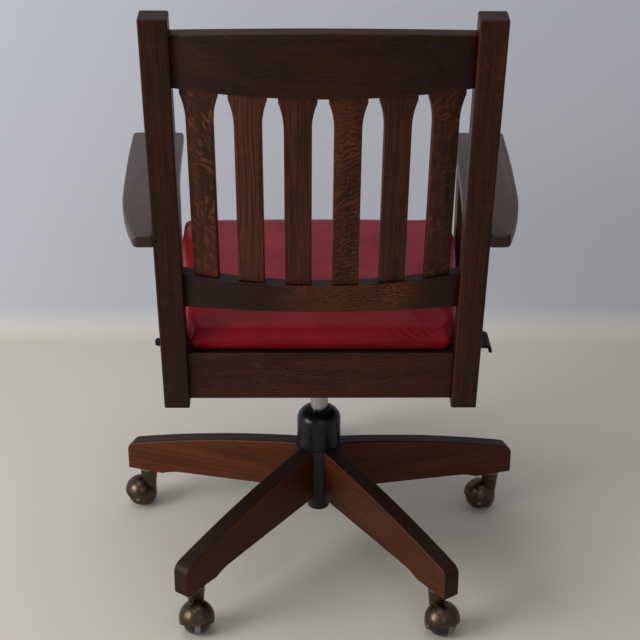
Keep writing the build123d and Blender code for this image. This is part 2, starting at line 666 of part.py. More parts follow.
def gas_cylinder():
    """Steel cylinder of the lift, closed by a plug and tapered into the housing."""
    bore = CYLINDER_RADIUS - CYLINDER_WALL
    low, high = CYLINDER_BOTTOM + CYLINDER_CAP, CYLINDER_TOP - CYLINDER_PLUG
    height = SOCKET_BOTTOM - CYLINDER_BOTTOM
    straight = Cylinder(CYLINDER_RADIUS, height, align=(Align.CENTER, Align.CENTER, Align.MIN))
    body = Pos(0, 0, CYLINDER_BOTTOM) * straight + taper_plug(CYLINDER_RADIUS, SOCKET_BOTTOM, CYLINDER_TOP)
    body -= Pos(0, 0, (low + high) / 2) * Cylinder(bore, high - low)
    body -= Pos(0, 0, CYLINDER_BOTTOM) * Cylinder(PISTON_ROD + RUN, 4 * CYLINDER_CAP)
    valve_depth = VALVE_LENGTH + 2 * VALVE_TRAVEL
    return body - Pos(0, 0, CYLINDER_TOP) * Cylinder(VALVE_PIN + RUN, 2 * valve_depth)


def valve_pin():
    """Release pin in the top of the lift, under the lever."""
    top = LEVER_Z - LEVER_ROD - PAD_GAP
    return Pos(0, 0, top) * Cylinder(VALVE_PIN, VALVE_LENGTH, align=(Align.CENTER, Align.CENTER, Align.MAX))


def gas_column():
    """Outer tube of the lift, tapered to its closed lower end."""
    tip, floor = COLUMN_BOTTOM, COLUMN_BOTTOM + COLUMN_FLOOR
    bore = PISTON_ROD + RUN
    tube = turned(
        (bore, tip),
        (COLUMN_TIP_RADIUS, tip),
        (COLUMN_TIP_RADIUS, floor),
        (COLUMN_RADIUS, HUB_BOTTOM),
        (COLUMN_RADIUS, COLUMN_TOP),
        (COLUMN_BORE, COLUMN_TOP),
        (COLUMN_BORE, HUB_BOTTOM + COLUMN_FLOOR),
        (COLUMN_TIP_BORE, HUB_BOTTOM),
        (COLUMN_TIP_BORE, floor),
        (bore, floor),
    )
    rim = tube.edges().filter_by(GeomType.CIRCLE).group_by(Axis.Z)[0].sort_by(SortBy.RADIUS)[-1]
    return fillet(rim, COLUMN_FLOOR / 2)


def guide_bush():
    """Plastic bush that guides the cylinder in the outer tube."""
    bore = CYLINDER_RADIUS + RUN
    return turned(
        (bore, BUSH_BOTTOM),
        (COLUMN_BORE, BUSH_BOTTOM),
        (COLUMN_BORE, COLUMN_TOP),
        (COLUMN_RADIUS, COLUMN_TOP),
        (COLUMN_RADIUS, COLUMN_TOP + BUSH_FLANGE),
        (bore, COLUMN_TOP + BUSH_FLANGE),
    )


def piston_rod():
    """Rod and piston, held at the foot of the outer tube."""
    piston = CYLINDER_RADIUS - CYLINDER_WALL - RUN
    return turned(
        (0, COLUMN_BOTTOM),
        (PISTON_ROD, COLUMN_BOTTOM),
        (PISTON_ROD, PISTON_Z),
        (piston, PISTON_Z),
        (piston, PISTON_Z + PISTON_THICK),
        (0, PISTON_Z + PISTON_THICK),
    )


def thrust_bearing():
    """Thrust bearing that the rod turns on."""
    return turned(
        (PISTON_ROD, BEARING_Z),
        (BEARING_RADIUS, BEARING_Z),
        (BEARING_RADIUS, BEARING_Z + BEARING_THICK),
        (PISTON_ROD, BEARING_Z + BEARING_THICK),
    )


def column_cover():
    """Domed bell over the top of the column."""
    inner = COVER_RADIUS - COVER_WALL
    dome_mid = radians(45)
    rise, run = COVER_TOP - COVER_SHOULDER, COVER_RADIUS - COVER_MOUTH
    outer_mid = (COVER_MOUTH + run * cos(dome_mid), COVER_SHOULDER + rise * sin(dome_mid))
    inner_mid = (outer_mid[0] - COVER_WALL * cos(dome_mid), outer_mid[1] - COVER_WALL * sin(dome_mid))
    outline = [
        Polyline(
            (inner, COVER_SHOULDER), (inner, HUB_TOP), (COVER_RADIUS, HUB_TOP), (COVER_RADIUS, COVER_SHOULDER)
        ),
        ThreePointArc((COVER_RADIUS, COVER_SHOULDER), outer_mid, (COVER_MOUTH, COVER_TOP)),
        Line((COVER_MOUTH, COVER_TOP), (COVER_MOUTH, COVER_TOP - COVER_WALL)),
        ThreePointArc((COVER_MOUTH, COVER_TOP - COVER_WALL), inner_mid, (inner, COVER_SHOULDER)),
    ]
    return revolve(Plane.XZ * make_face(outline), axis=Axis.Z)


def base_hub():
    """Steel hub that the column is pressed into, with a flat for each leg to butt against."""
    hub = turned(
        (COLUMN_RADIUS, HUB_BOTTOM), (HUB_RADIUS, HUB_BOTTOM), (HUB_RADIUS, HUB_TOP), (COLUMN_RADIUS, HUB_TOP)
    )
    block = Box(HUB_RADIUS, 4 * HUB_RADIUS, 4 * HUB_TOP, align=(Align.MIN, Align.CENTER, Align.CENTER))
    beyond = Pos(HUB_FLAT, 0, 0) * block
    for index in range(LEG_COUNT):
        hub -= heading(index) * beyond
    return hub


def heading(index):
    """Give the turn about Z that carries +X to a leg, counted clockwise from the front."""
    return Rot(0, 0, 90 - BASE_TURN - 360 * index / LEG_COUNT)


def base_leg(index):
    """One leg: sloping top with a rounded nose, flat foot pad, under edge rising to the hub."""
    pad_end = LEG_REACH - LEG_PAD_LENGTH
    scoop_end = pad_end - LEG_SCOOP_LENGTH
    crown_x, crown_z = (LEG_REACH + HUB_FLAT) / 2, (LEG_HUB_TOP + LEG_TIP_TOP) / 2 + LEG_CROWN
    outline = [
        Line((HUB_FLAT, LEG_HUB_UNDER), (HUB_FLAT, LEG_HUB_TOP)),
        ThreePointArc((HUB_FLAT, LEG_HUB_TOP), (crown_x, crown_z), (LEG_REACH, LEG_TIP_TOP)),
        Polyline((LEG_REACH, LEG_TIP_TOP), (LEG_REACH, LEG_PAD_Z), (pad_end, LEG_PAD_Z)),
        ThreePointArc(
            (pad_end, LEG_PAD_Z),
            ((pad_end + scoop_end) / 2, LEG_PAD_Z + LEG_SCOOP * 0.65),
            (scoop_end, LEG_PAD_Z + LEG_SCOOP),
        ),
        Line((scoop_end, LEG_PAD_Z + LEG_SCOOP), (HUB_FLAT, LEG_HUB_UNDER)),
    ]
    profile = make_face(outline)
    profile = fillet(profile.vertices().sort_by_distance((LEG_REACH, LEG_TIP_TOP))[0], LEG_NOSE)
    leg = extrude(Plane.XZ * profile, amount=LEG_THICK / 2, both=True)
    sides = leg.edges().filter_by(lambda edge: abs(edge.center().Y) > LEG_EDGE)
    outer = sides.filter_by(lambda edge: edge.center().X > HUB_RADIUS)
    leg = fillet(outer.filter_by(lambda edge: edge.center().Z > LEG_PAD_Z + LEG_NOSE), LEG_EDGE)
    leg -= Pos(CASTER_RING, 0, SOCKET_Z) * Cylinder(SOCKET_RADIUS, 2 * (STEM_LENGTH + SOCKET_WALL))
    return heading(index) * leg


def caster_socket(index):
    """Metal socket in the foot of a leg, with a flange under the wood."""
    depth = STEM_LENGTH + SOCKET_WALL
    sleeve = Cylinder(SOCKET_RADIUS, depth, align=(Align.CENTER, Align.CENTER, Align.MIN))
    flange = Cylinder(NECK_RADIUS, SOCKET_FLANGE, align=(Align.CENTER, Align.CENTER, Align.MIN))
    bore = Cylinder(STEM_BORE, 2 * (STEM_LENGTH + RUN))
    return heading(index) * Pos(CASTER_RING, 0, SOCKET_Z) * (sleeve + flange - bore)


def caster_place(index):
    """Give the place of a caster's stem, turned so that +X is the way it trails."""
    stem = (heading(index) * Pos(CASTER_RING, 0, 0)).position
    return Pos(stem.X, stem.Y, 0) * Rot(0, 0, 90 - CASTER_HEADINGS[index])


def raised_ball(radius):
    """Ball about the origin, drawn out upward by the rise of a hood."""
    slant = radius * sqrt(0.5)
    top = HOOD_RISE + radius
    outline = [
        ThreePointArc((0, -radius), (slant, -slant), (radius, 0)),
        Line((radius, 0), (radius, HOOD_RISE)),
        ThreePointArc((radius, HOOD_RISE), (slant, HOOD_RISE + slant), (0, top)),
        Line((0, top), (0, -radius)),
    ]
    return revolve(Plane.XZ * make_face(outline), Axis.Z)


def caster_hood(index):
    """Domed hood with a slanting rim, low enough to hold the axle, and a neck up to the leg."""
    centre = Pos(CASTER_TRAIL, 0, WHEEL_RADIUS)
    neck_low = WHEEL_RADIUS + HOOD_RISE
    neck = Cone(NECK_WAIST, NECK_RADIUS, NECK_TOP - neck_low, align=(Align.CENTER, Align.CENTER, Align.MIN))
    hood = centre * raised_ball(HOOD_RADIUS) + Pos(0, 0, neck_low) * neck
    hood -= centre * raised_ball(HOOD_RADIUS - HOOD_WALL)
    size = 4 * HOOD_RADIUS
    below = Box(size, size, size, align=(Align.CENTER, Align.CENTER, Align.MAX))
    hood -= centre * Rot(0, -HOOD_TILT, 0) * Pos(0, 0, -HOOD_DROP) * below
    hood -= centre * Rot(90, 0, 0) * Cylinder(WHEEL_AXLE, size)
    hood -= Pos(0, 0, NECK_TOP) * Cylinder(STEM_RADIUS, 2 * NECK_COLLAR)
    return caster_place(index) * hood


def caster_pins(index):
    """Stem in the leg's socket and axle across the hood."""
    foot = NECK_TOP - NECK_COLLAR
    stem = Cylinder(STEM_RADIUS, STEM_TOP - foot, align=(Align.CENTER, Align.CENTER, Align.MIN))
    stem = Pos(0, 0, foot) * stem
    half = sqrt(HOOD_RADIUS**2 - WHEEL_AXLE**2)
    axle = Pos(CASTER_TRAIL, 0, WHEEL_RADIUS) * Rot(90, 0, 0) * Cylinder(WHEEL_AXLE, 2 * half)
    return Compound(children=[caster_place(index) * stem, caster_place(index) * axle])


def caster_wheel(index):
    """Ball-shaped wheel with a band of tread round its middle."""
    ball = Sphere(WHEEL_RADIUS - TREAD_STEP) & Box(4 * WHEEL_RADIUS, 2 * WHEEL_HALF_WIDTH, 4 * WHEEL_RADIUS)
    wheel = ball + Rot(90, 0, 0) * Cylinder(WHEEL_RADIUS, TREAD_WIDTH)
    wheel -= Rot(90, 0, 0) * Cylinder(WHEEL_AXLE + RUN, 4 * WHEEL_RADIUS)
    return caster_place(index) * Pos(CASTER_TRAIL, 0, WHEEL_RADIUS) * wheel


def seat_nodes():
    """Make the pieces that tilt with the seat."""
    pairs = {"rear_post": rear_post(), "front_post": front_post(), "apron": side_apron()}
    nodes = {"left_arm": arm(-1), "right_arm": arm(1)}
    for name, right in pairs.items():
        nodes[f"left_{name}"], nodes[f"right_{name}"] = both_sides(right)
    for index in range(SLAT_COUNT):
        nodes[f"back_slat_{index + 1}"] = back_slat(index)
    singles = (
        top_rail, lower_back_rail, rear_apron, front_apron, seat_board, seat_cleats, seat_cushion,
        cross_rails, seat_plate, tension_bolt, spring_cup,
    )
    nodes.update({make.__name__: make() for make in singles})
    return nodes


def lift_nodes():
    """Make the tilt mechanism, the levers and the gas lift."""
    singles = (
        tension_knob, tilt_spring, tilt_housing, tilt_axle, height_lever, tilt_lock_lever, gas_cylinder,
        valve_pin, gas_column, guide_bush, piston_rod, thrust_bearing, column_cover, base_hub,
    )
    return {make.__name__: make() for make in singles}


def base_nodes():
    """Make the legs and the casters."""
    names = ("front", "right", "rear_right", "rear_left", "left")
    nodes = {"caster_sockets": Compound(children=[caster_socket(index) for index in range(LEG_COUNT)])}
    for index, name in enumerate(names):
        nodes[f"{name}_leg"] = base_leg(index)
        nodes[f"{name}_caster_hood"] = caster_hood(index)
        nodes[f"{name}_caster_pins"] = caster_pins(index)
        nodes[f"{name}_caster_wheel"] = caster_wheel(index)
    return nodes


os.makedirs("parts", exist_ok=True)
for node, shape in {**seat_nodes(), **lift_nodes(), **base_nodes()}.items():
    export_step(shape, f"parts/{node}.step")
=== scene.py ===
"""Looks of a mission-style swivel desk armchair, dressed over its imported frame."""

import json
import logging
import math
from dataclasses import dataclass
from enum import Enum

import bmesh
import bpy
import numpy as np
from mathutils import Matrix, Vector, noise


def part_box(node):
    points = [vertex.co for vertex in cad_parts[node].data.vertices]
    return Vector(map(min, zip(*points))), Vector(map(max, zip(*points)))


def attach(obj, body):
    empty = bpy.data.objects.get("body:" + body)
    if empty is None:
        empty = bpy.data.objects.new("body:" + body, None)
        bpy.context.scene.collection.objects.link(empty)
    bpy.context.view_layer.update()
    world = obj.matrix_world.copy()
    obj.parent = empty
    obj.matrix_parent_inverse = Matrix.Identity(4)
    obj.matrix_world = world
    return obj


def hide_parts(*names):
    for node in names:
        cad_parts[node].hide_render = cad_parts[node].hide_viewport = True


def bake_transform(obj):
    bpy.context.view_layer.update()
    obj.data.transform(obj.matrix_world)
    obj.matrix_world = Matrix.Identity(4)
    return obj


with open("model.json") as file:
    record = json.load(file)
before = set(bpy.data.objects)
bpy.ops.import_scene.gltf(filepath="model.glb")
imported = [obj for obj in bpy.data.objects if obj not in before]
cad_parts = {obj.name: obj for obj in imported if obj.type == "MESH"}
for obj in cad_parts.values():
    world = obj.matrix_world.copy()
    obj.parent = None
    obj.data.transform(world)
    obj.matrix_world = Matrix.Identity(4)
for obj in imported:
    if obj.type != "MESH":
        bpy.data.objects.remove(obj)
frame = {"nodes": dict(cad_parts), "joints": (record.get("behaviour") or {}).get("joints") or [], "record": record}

LOG = logging.getLogger("armchair")
POST_LEAN = math.radians(10.6)
CRISP = math.radians(35)
LEG_NAMES = ("front", "right", "rear_right", "rear_left", "left")
# Each leg's tone: partly its own board's colour and partly painted light and shade, lighter for the leg lit from
# the left and darker for the near legs whose seen sides are in shadow.
LEG_TONES_AND_SHADE = (0.9, 0.85, 0.77, 0.68, 1.08)

Colour = tuple[float, float, float]


class Grain(Enum):
    """The way the grain of a piece runs, as its direction and the direction across it."""

    UP_THE_BACK = ((0.0, -math.sin(POST_LEAN), math.cos(POST_LEAN)), (1.0, 0.0, 0.0))
    UPRIGHT = ((0.0, 0.0, 1.0), (1.0, 0.0, 0.0))
    ACROSS = ((1.0, 0.0, 0.0), (0.0, 0.0, 1.0))
    FORWARD = ((0.0, 1.0, 0.0), (1.0, 0.0, 0.0))


@dataclass(frozen=True)
class OakFinish:
    """Stain and figure of one piece of quarter-sawn oak.

    The fleck is the pale figure across the grain: its slant is from the line across the
    grain, ripple turns scattered flakes (0) into close waves (1), size scales it, and patch
    gathers it into places (1) or spreads it all over (0). It lies between fleck_from and
    fleck_to along the grain, and outside that span the wood is darkened by the share beyond.
    Wear bares the edges, end_grain turns the sawn ends to the grey-brown end-grain colour,
    and the upward-face share paints shade onto the faces that look up in that same colour.
    """

    name: str
    along: Colour
    across: Colour
    seed: float
    tone: float = 1.0
    fleck: float = 0.5
    slant: float = 0.5
    ripple: float = 0.0
    size: float = 1.0
    patch: float = 0.6
    lines: float = 0.55
    pores: float = 0.6
    fleck_from: float = -9.0
    fleck_to: float = 9.0
    beyond: float = 0.6
    wear: float = 0.35
    end_grain: float = 0.45
    # Share of painted shade on the faces that look upward.
    top_shade: float = 0.0
    roughness: float = 0.42
    gloss: float = 0.16
    dark: Colour = (0.0155, 0.0046, 0.0021)
    body: Colour = (0.053, 0.0132, 0.0048)
    flake: Colour = (0.137, 0.0345, 0.0091)
    # Grey-brown of the real end grain, also the colour of the painted shade on upward faces.
    end_grain_and_top_shade: Colour = (0.006, 0.0042, 0.0034)


@dataclass(frozen=True)
class PlainFinish:
    """Paint, plastic or metal with a faint mottle in its gloss."""

    name: str
    base: Colour
    roughness: float
    metallic: float = 0.0
    mottle: float = 0.1
    mottle_scale: float = 60.0
    stain: Colour = (0.0, 0.0, 0.0)
    stain_share: float = 0.0
    gloss: float = 0.3


@dataclass(frozen=True)
class LeatherFinish:
    """Dyed upholstery leather with a fine pebble."""

    name: str = "red_leather"
    base: Colour = (0.22, 0.0032, 0.0105)
    deep: Colour = (0.165, 0.0019, 0.006)
    roughness: float = 0.34
    gloss: float = 0.13
    pebble: float = 950.0
    pebble_height: float = 0.06


class NodeSketch:
    """Adds nodes to one tree and links them with few words."""

    def __init__(self, tree: bpy.types.NodeTree) -> None:
        """Keep the tree that the nodes go into."""
        self.tree = tree

    def add(self, kind: str, inputs: dict | None = None, **settings: object) -> bpy.types.Node:
        """Add one node.

        Args:
            kind: The node's type name.
            inputs: Values or sockets for its inputs, by name or index.
            settings: Properties of the node itself.

        Returns:
            The new node.
        """
        node = self.tree.nodes.new(kind)
        for key, value in settings.items():
            setattr(node, key, value)
        for key, value in (inputs or {}).items():
            if isinstance(value, bpy.types.NodeSocket):
                self.tree.links.new(value, node.inputs[key])
            else:
                node.inputs[key].default_value = value
        return node

    def math(self, operation: str, first: object, second: object = 0.0) -> bpy.types.NodeSocket:
        """Add a sum of two values and give its output."""
        return self.add("ShaderNodeMath", {0: first, 1: second}, operation=operation).outputs[0]

    def mix(self, factor: object, first: object, second: object) -> bpy.types.NodeSocket:
        """Blend two colours and give the result."""
        node = self.add("ShaderNodeMix", {0: factor, 6: first, 7: second}, data_type="RGBA")
        return node.outputs[2]

    def facing(self, normal: object, way: object) -> bpy.types.NodeSocket:
        """Give how squarely a surface faces along a direction, either way, from 0 to 1."""
        node = self.add("ShaderNodeVectorMath", {0: normal, 1: way}, operation="DOT_PRODUCT")
        return self.math("ABSOLUTE", node.outputs["Value"])

    def ramp(self, value: object, low: float, high: float) -> bpy.types.NodeSocket:
        """Stretch a value so that low gives 0 and high gives 1, with soft ends."""
        inputs = {"Value": value, "From Min": low, "From Max": high}
        return self.add("ShaderNodeMapRange", inputs, interpolation_type="SMOOTHSTEP").outputs["Result"]


def new_group(name: str, inputs: dict[str, str], outputs: dict[str, str]) -> tuple[NodeSketch, dict, dict]:
    """Start a shader node group.

    Args:
        name: The group's name.
        inputs: Socket types by input name.
        outputs: Socket types by output name.

    Returns:
        The sketch to add nodes with, the input sockets and the output sockets.
    """
    tree = bpy.data.node_groups.new(name, "ShaderNodeTree")
    for label, kind in inputs.items():
        tree.interface.new_socket(label, in_out="INPUT", socket_type=kind)
    for label, kind in outputs.items():
        tree.interface.new_socket(label, in_out="OUTPUT", socket_type=kind)
    sketch = NodeSketch(tree)
    source = sketch.add("NodeGroupInput")
    sink = sketch.add("NodeGroupOutput")
    return sketch, {k: source.outputs[k] for k in inputs}, {k: sink.inputs[k] for k in outputs}


def shifted_place(sketch: NodeSketch, place: object, seed: object) -> bpy.types.NodeSocket:
    """Move a place by a seed along all three axes."""
    step = sketch.add("ShaderNodeCombineXYZ", {"X": seed, "Y": seed, "Z": seed}).outputs[0]
    return sketch.add("ShaderNodeVectorMath", {0: place, 1: step}, operation="ADD").outputs[0]


def swayed_place(sketch: NodeSketch, place: object, scale: float, reach: float) -> bpy.types.NodeSocket:
    """Bend a place to and fro with a slow noise."""
    bend = sketch.add("ShaderNodeTexNoise", {"Vector": place, "Scale": scale, "Detail": 1.0}).outputs["Color"]
    level = sketch.add("ShaderNodeVectorMath", {0: bend, 1: (0.5, 0.5, 0.5)}, operation="SUBTRACT").outputs[0]
    sway = sketch.add("ShaderNodeVectorMath", {0: level, "Scale": reach}, operation="SCALE").outputs[0]
    return sketch.add("ShaderNodeVectorMath", {0: place, 1: sway}, operation="ADD").outputs[0]


def drawn_noise(sketch: NodeSketch, place: object, scale: Colour, detail: float) -> bpy.types.NodeSocket:
    """Give a noise drawn out unevenly along the three axes."""
    long = sketch.add("ShaderNodeVectorMath", {0: place, 1: scale}, operation="MULTIPLY").outputs[0]
    return sketch.add("ShaderNodeTexNoise", {"Vector": long, "Scale": 1.0, "Detail": detail}).outputs[0]


def straight_grain_group() -> bpy.types.NodeTree:
    """Build the straight grain of oak: broad tone, close lines and dark pores along local Y.

    Returns:
        The node group, with outputs Tone and Pore from 0 to 1.
    """
    value, vector = "NodeSocketFloat", "NodeSocketVector"
    inputs = {"Place": vector, "Seed": value, "Lines": value}
    sketch, given, out = new_group("straight_grain", inputs, {"Tone": value, "Pore": value})
    place = swayed_place(sketch, shifted_place(sketch, given["Place"], given["Seed"]), 9.0, 0.006)
    broad = sketch.ramp(drawn_noise(sketch, place, (42, 3, 42), 2.0), 0.34, 0.66)
    lines = sketch.ramp(drawn_noise(sketch, place, (520, 7, 520), 2.0), 0.4, 0.6)
    pores = drawn_noise(sketch, place, (900, 42, 900), 2.0)
    blend = sketch.add("ShaderNodeMix", {0: given["Lines"], 2: broad, 3: lines}, data_type="FLOAT")
    sketch.tree.links.new(blend.outputs[0], out["Tone"])
    sketch.tree.links.new(sketch.ramp(pores, 0.56, 0.68), out["Pore"])
    return sketch.tree


def ray_fleck_group() -> bpy.types.NodeTree:
    """Build the pale ray figure of quarter-sawn oak.

    Returns:
        The node group, with output Mask from 0 to 1.
    """
    value, vector = "NodeSocketFloat", "NodeSocketVector"
    inputs = {"Place": vector, "Seed": value, "Slant": value, "Ripple": value, "Size": value, "Patch": value}
    sketch, given, out = new_group("ray_fleck", inputs, {"Mask": value})
    place = shifted_place(sketch, given["Place"], given["Seed"])
    turned = sketch.add(
        "ShaderNodeVectorRotate",
        {"Vector": swayed_place(sketch, place, 16.0, 0.05), "Angle": given["Slant"]},
        rotation_type="Z_AXIS",
    ).outputs[0]
    inverse = sketch.math("DIVIDE", 1.0, given["Size"])
    sized = sketch.add("ShaderNodeVectorMath", {0: turned, "Scale": inverse}, operation="SCALE").outputs[0]
    flakes = sketch.ramp(drawn_noise(sketch, sized, (62, 190, 62), 3.0), 0.5, 0.63)
    waves = sketch.add(
        "ShaderNodeTexWave",
        {"Vector": sized, "Scale": 46.0, "Distortion": 7.0, "Detail": 2.0, "Detail Scale": 2.2},
        bands_direction="Y",
    )
    ripples = sketch.ramp(waves.outputs["Fac"], 0.4, 0.9)
    mixed = sketch.add("ShaderNodeMix", {0: given["Ripple"], 2: flakes, 3: ripples}, data_type="FLOAT")
    cloud = sketch.add("ShaderNodeTexNoise", {"Vector": place, "Scale": 17.0, "Detail": 1.0}).outputs[0]
    spread = sketch.math("SUBTRACT", 1.0, given["Patch"])
    kept = sketch.math("MAXIMUM", sketch.ramp(cloud, 0.4, 0.58), spread)
    sketch.tree.links.new(sketch.math("MULTIPLY", mixed.outputs[0], kept), out["Mask"])
    return sketch.tree


def edge_wear_group() -> bpy.types.NodeTree:
    """Build the mask of a board's rubbed edges, where its surface turns between its three main directions.

    Returns:
        The node group, with output Mask from 0 to 1.
    """
    value, vector = "NodeSocketFloat", "NodeSocketVector"
    inputs = {"Place": vector, "Normal": vector, "Along": vector, "Across": vector, "Third": vector}
    sketch, given, out = new_group("edge_wear", inputs, {"Mask": value})
    facing = [sketch.facing(given["Normal"], given[way]) for way in ("Along", "Across", "Third")]
    nearest = sketch.math("MAXIMUM", sketch.math("MAXIMUM", facing[0], facing[1]), facing[2])
    edge = sketch.ramp(sketch.math("SUBTRACT", 1.0, nearest), 0.08, 0.24)
    cloud = sketch.add("ShaderNodeTexNoise", {"Vector": given["Place"], "Scale": 38.0, "Detail": 3.0})
    rubbed = sketch.ramp(cloud.outputs[0], 0.35, 0.62)
    sketch.tree.links.new(sketch.math("MULTIPLY", edge, rubbed), out["Mask"])
    return sketch.tree


def mottle_group() -> bpy.types.NodeTree:
    """Build a soft uneven mottle for handled surfaces.

    Returns:
        The node group, with output Amount from 0 to 1.
    """
    value = "NodeSocketFloat"
    sketch, given, out = new_group("handled_mottle", {"Scale": value}, {"Amount": value})
    place = sketch.add("ShaderNodeTexCoord").outputs["Object"]
    cloud = sketch.add("ShaderNodeTexNoise", {"Vector": place, "Scale": given["Scale"], "Detail": 4.0})
    sketch.tree.links.new(sketch.ramp(cloud.outputs[0], 0.35, 0.68), out["Amount"])
    return sketch.tree


class Finishes:
    """Makes each finish's material once and hands it out."""

    def __init__(self) -> None:
        """Build the shared effects."""
        self.grain = straight_grain_group()
        self.fleck = ray_fleck_group()
        self.wear = edge_wear_group()
        self.mottle = mottle_group()

    def start(self, name: str) -> tuple[bpy.types.Material, NodeSketch, bpy.types.Node]:
        """Start a material with one principled shader.

        Args:
            name: The material's name.

        Returns:
            The material, the sketch to add nodes with, and the shader node.
        """
        material = bpy.data.materials.new(name)
        material.use_nodes = True
        shader = material.node_tree.nodes["Principled BSDF"]
        return material, NodeSketch(material.node_tree), shader

    def oak(self, finish: OakFinish) -> bpy.types.Material:
        """Make one piece's oak.

        Args:
            finish: The stain and figure.

        Returns:
            The material.
        """
        material, sketch, shader = self.start(finish.name)
        along = Vector(finish.along).normalized()
        across = Vector(finish.across).normalized()
        third = across.cross(along)
        turn = Matrix((across, along, third)).to_euler("XYZ")
        where = sketch.add("ShaderNodeTexCoord").outputs
        normal = where["Normal"]
        place = sketch.add("ShaderNodeMapping", {"Vector": where["Object"], "Rotation": turn}).outputs[0]
        spot = {"Place": place, "Seed": finish.seed}
        figure = {"Slant": finish.slant, "Ripple": finish.ripple, "Size": finish.size, "Patch": finish.patch}
        ways = {"Along": along, "Across": across, "Third": third}
        grain = sketch.add("ShaderNodeGroup", {**spot, "Lines": finish.lines}, node_tree=self.grain)
        fleck = sketch.add("ShaderNodeGroup", {**spot, **figure}, node_tree=self.fleck)
        edge = sketch.add("ShaderNodeGroup", {"Place": place, "Normal": normal, **ways}, node_tree=self.wear)
        dark, body, flake = (
            (*(finish.tone * channel for channel in shade), 1.0)
            for shade in (finish.dark, finish.body, finish.flake)
        )
        wood = sketch.mix(grain.outputs["Tone"], dark, body)
        reach = sketch.add("ShaderNodeSeparateXYZ", {0: place}).outputs["Y"]
        started = sketch.ramp(reach, finish.fleck_from, finish.fleck_from + 0.1)
        ended = sketch.ramp(reach, finish.fleck_to, finish.fleck_to - 0.06)
        within = sketch.math("MULTIPLY", started, ended)
        # Outside the fleck's span the wood is darkened by the share beyond; on the lower back rail this darkens
        # both ends.
        beyond = sketch.math("MULTIPLY", sketch.math("SUBTRACT", 1.0, within), finish.beyond)
        wood = sketch.mix(beyond, wood, dark)
        figured = sketch.math("MULTIPLY", fleck.outputs["Mask"], within)
        wood = sketch.mix(sketch.math("MULTIPLY", figured, finish.fleck), wood, flake)
        wood = sketch.mix(sketch.math("MULTIPLY", grain.outputs["Pore"], finish.pores), wood, dark)
        wood = sketch.mix(sketch.math("MULTIPLY", edge.outputs["Mask"], finish.wear), wood, flake)
        # Painted shade: faces that look upward are darkened toward the grey-brown end-grain colour, standing for
        # the shade and dull reflection on them; the sawn ends get the same colour as real end grain.
        upward = sketch.add("ShaderNodeSeparateXYZ", {0: normal}).outputs["Z"]
        rubbed = sketch.math("MULTIPLY", sketch.ramp(upward, 0.5, 0.9), finish.top_shade)
        sawn = sketch.ramp(sketch.facing(normal, along), 0.55, 0.85)
        end_grain_and_top_shade = sketch.math("MAXIMUM", rubbed, sketch.math("MULTIPLY", sawn, finish.end_grain))
        wood = sketch.mix(end_grain_and_top_shade, wood, (*finish.end_grain_and_top_shade, 1.0))
        sketch.tree.links.new(wood, shader.inputs["Base Color"])
        sheen = sketch.math("MULTIPLY_ADD", grain.outputs["Pore"], 0.12)
        sheen.node.inputs[2].default_value = finish.roughness
        sketch.tree.links.new(sheen, shader.inputs["Roughness"])
        shader.inputs["Specular IOR Level"].default_value = finish.gloss
        dent = sketch.math("SUBTRACT", grain.outputs["Tone"], grain.outputs["Pore"])
        bump = sketch.add("ShaderNodeBump", {"Strength": 0.12, "Distance": 0.0004, "Height": dent})
        sketch.tree.links.new(bump.outputs[0], shader.inputs["Normal"])
        return material

    def plain(self, finish: PlainFinish) -> bpy.types.Material:
        """Make a paint, plastic or metal.

        Args:
            finish: Its colour and gloss.

        Returns:
            The material.
        """
        material, sketch, shader = self.start(finish.name)
        mottle = sketch.add("ShaderNodeGroup", {"Scale": finish.mottle_scale}, node_tree=self.mottle)
        amount = mottle.outputs["Amount"]
        gloss = sketch.math("MULTIPLY_ADD", amount, finish.mottle)
        gloss.node.inputs[2].default_value = finish.roughness
        sketch.tree.links.new(gloss, shader.inputs["Roughness"])
        shader.inputs["Base Color"].default_value = (*finish.base, 1.0)
        if finish.stain_share:
            share = sketch.math("MULTIPLY", amount, finish.stain_share)
            colour = sketch.mix(share, (*finish.base, 1.0), (*finish.stain, 1.0))
            sketch.tree.links.new(colour, shader.inputs["Base Color"])
        shader.inputs["Metallic"].default_value = finish.metallic
        shader.inputs["Specular IOR Level"].default_value = finish.gloss
        return material

    def leather(self, finish: LeatherFinish) -> bpy.types.Material:
        """Make the cushion's leather.

        Args:
            finish: Its dye and pebble.

        Returns:
            The material.
        """
        material, sketch, shader = self.start(finish.name)
        place = sketch.add("ShaderNodeTexCoord").outputs["Object"]
        cloud = sketch.add("ShaderNodeTexNoise", {"Vector": place, "Scale": 14.0, "Detail": 3.0})
        dye = sketch.mix(sketch.ramp(cloud.outputs[0], 0.3, 0.7), (*finish.base, 1.0), (*finish.deep, 1.0))
        sketch.tree.links.new(dye, shader.inputs["Base Color"])
        gloss = sketch.math("MULTIPLY_ADD", cloud.outputs[0], 0.12)
        gloss.node.inputs[2].default_value = finish.roughness
        sketch.tree.links.new(gloss, shader.inputs["Roughness"])
        shader.inputs["Specular IOR Level"].default_value = finish.gloss
        cells = sketch.add("ShaderNodeTexVoronoi", {"Vector": place, "Scale": finish.pebble})
        relief = {"Strength": finish.pebble_height, "Distance": 0.0006, "Height": cells.outputs["Distance"]}
        bump = sketch.add("ShaderNodeBump", relief)
        sketch.tree.links.new(bump.outputs[0], shader.inputs["Normal"])
        return material


def dress(node: str, material: bpy.types.Material) -> None:
    """Give a CAD node one material.

    Args:
        node: The node's name.
        material: The material for all its faces.
    """
    mesh = frame["nodes"][node].data
    mesh.materials.clear()
    mesh.materials.append(material)
    LOG.info("%s: %s", node, material.name)


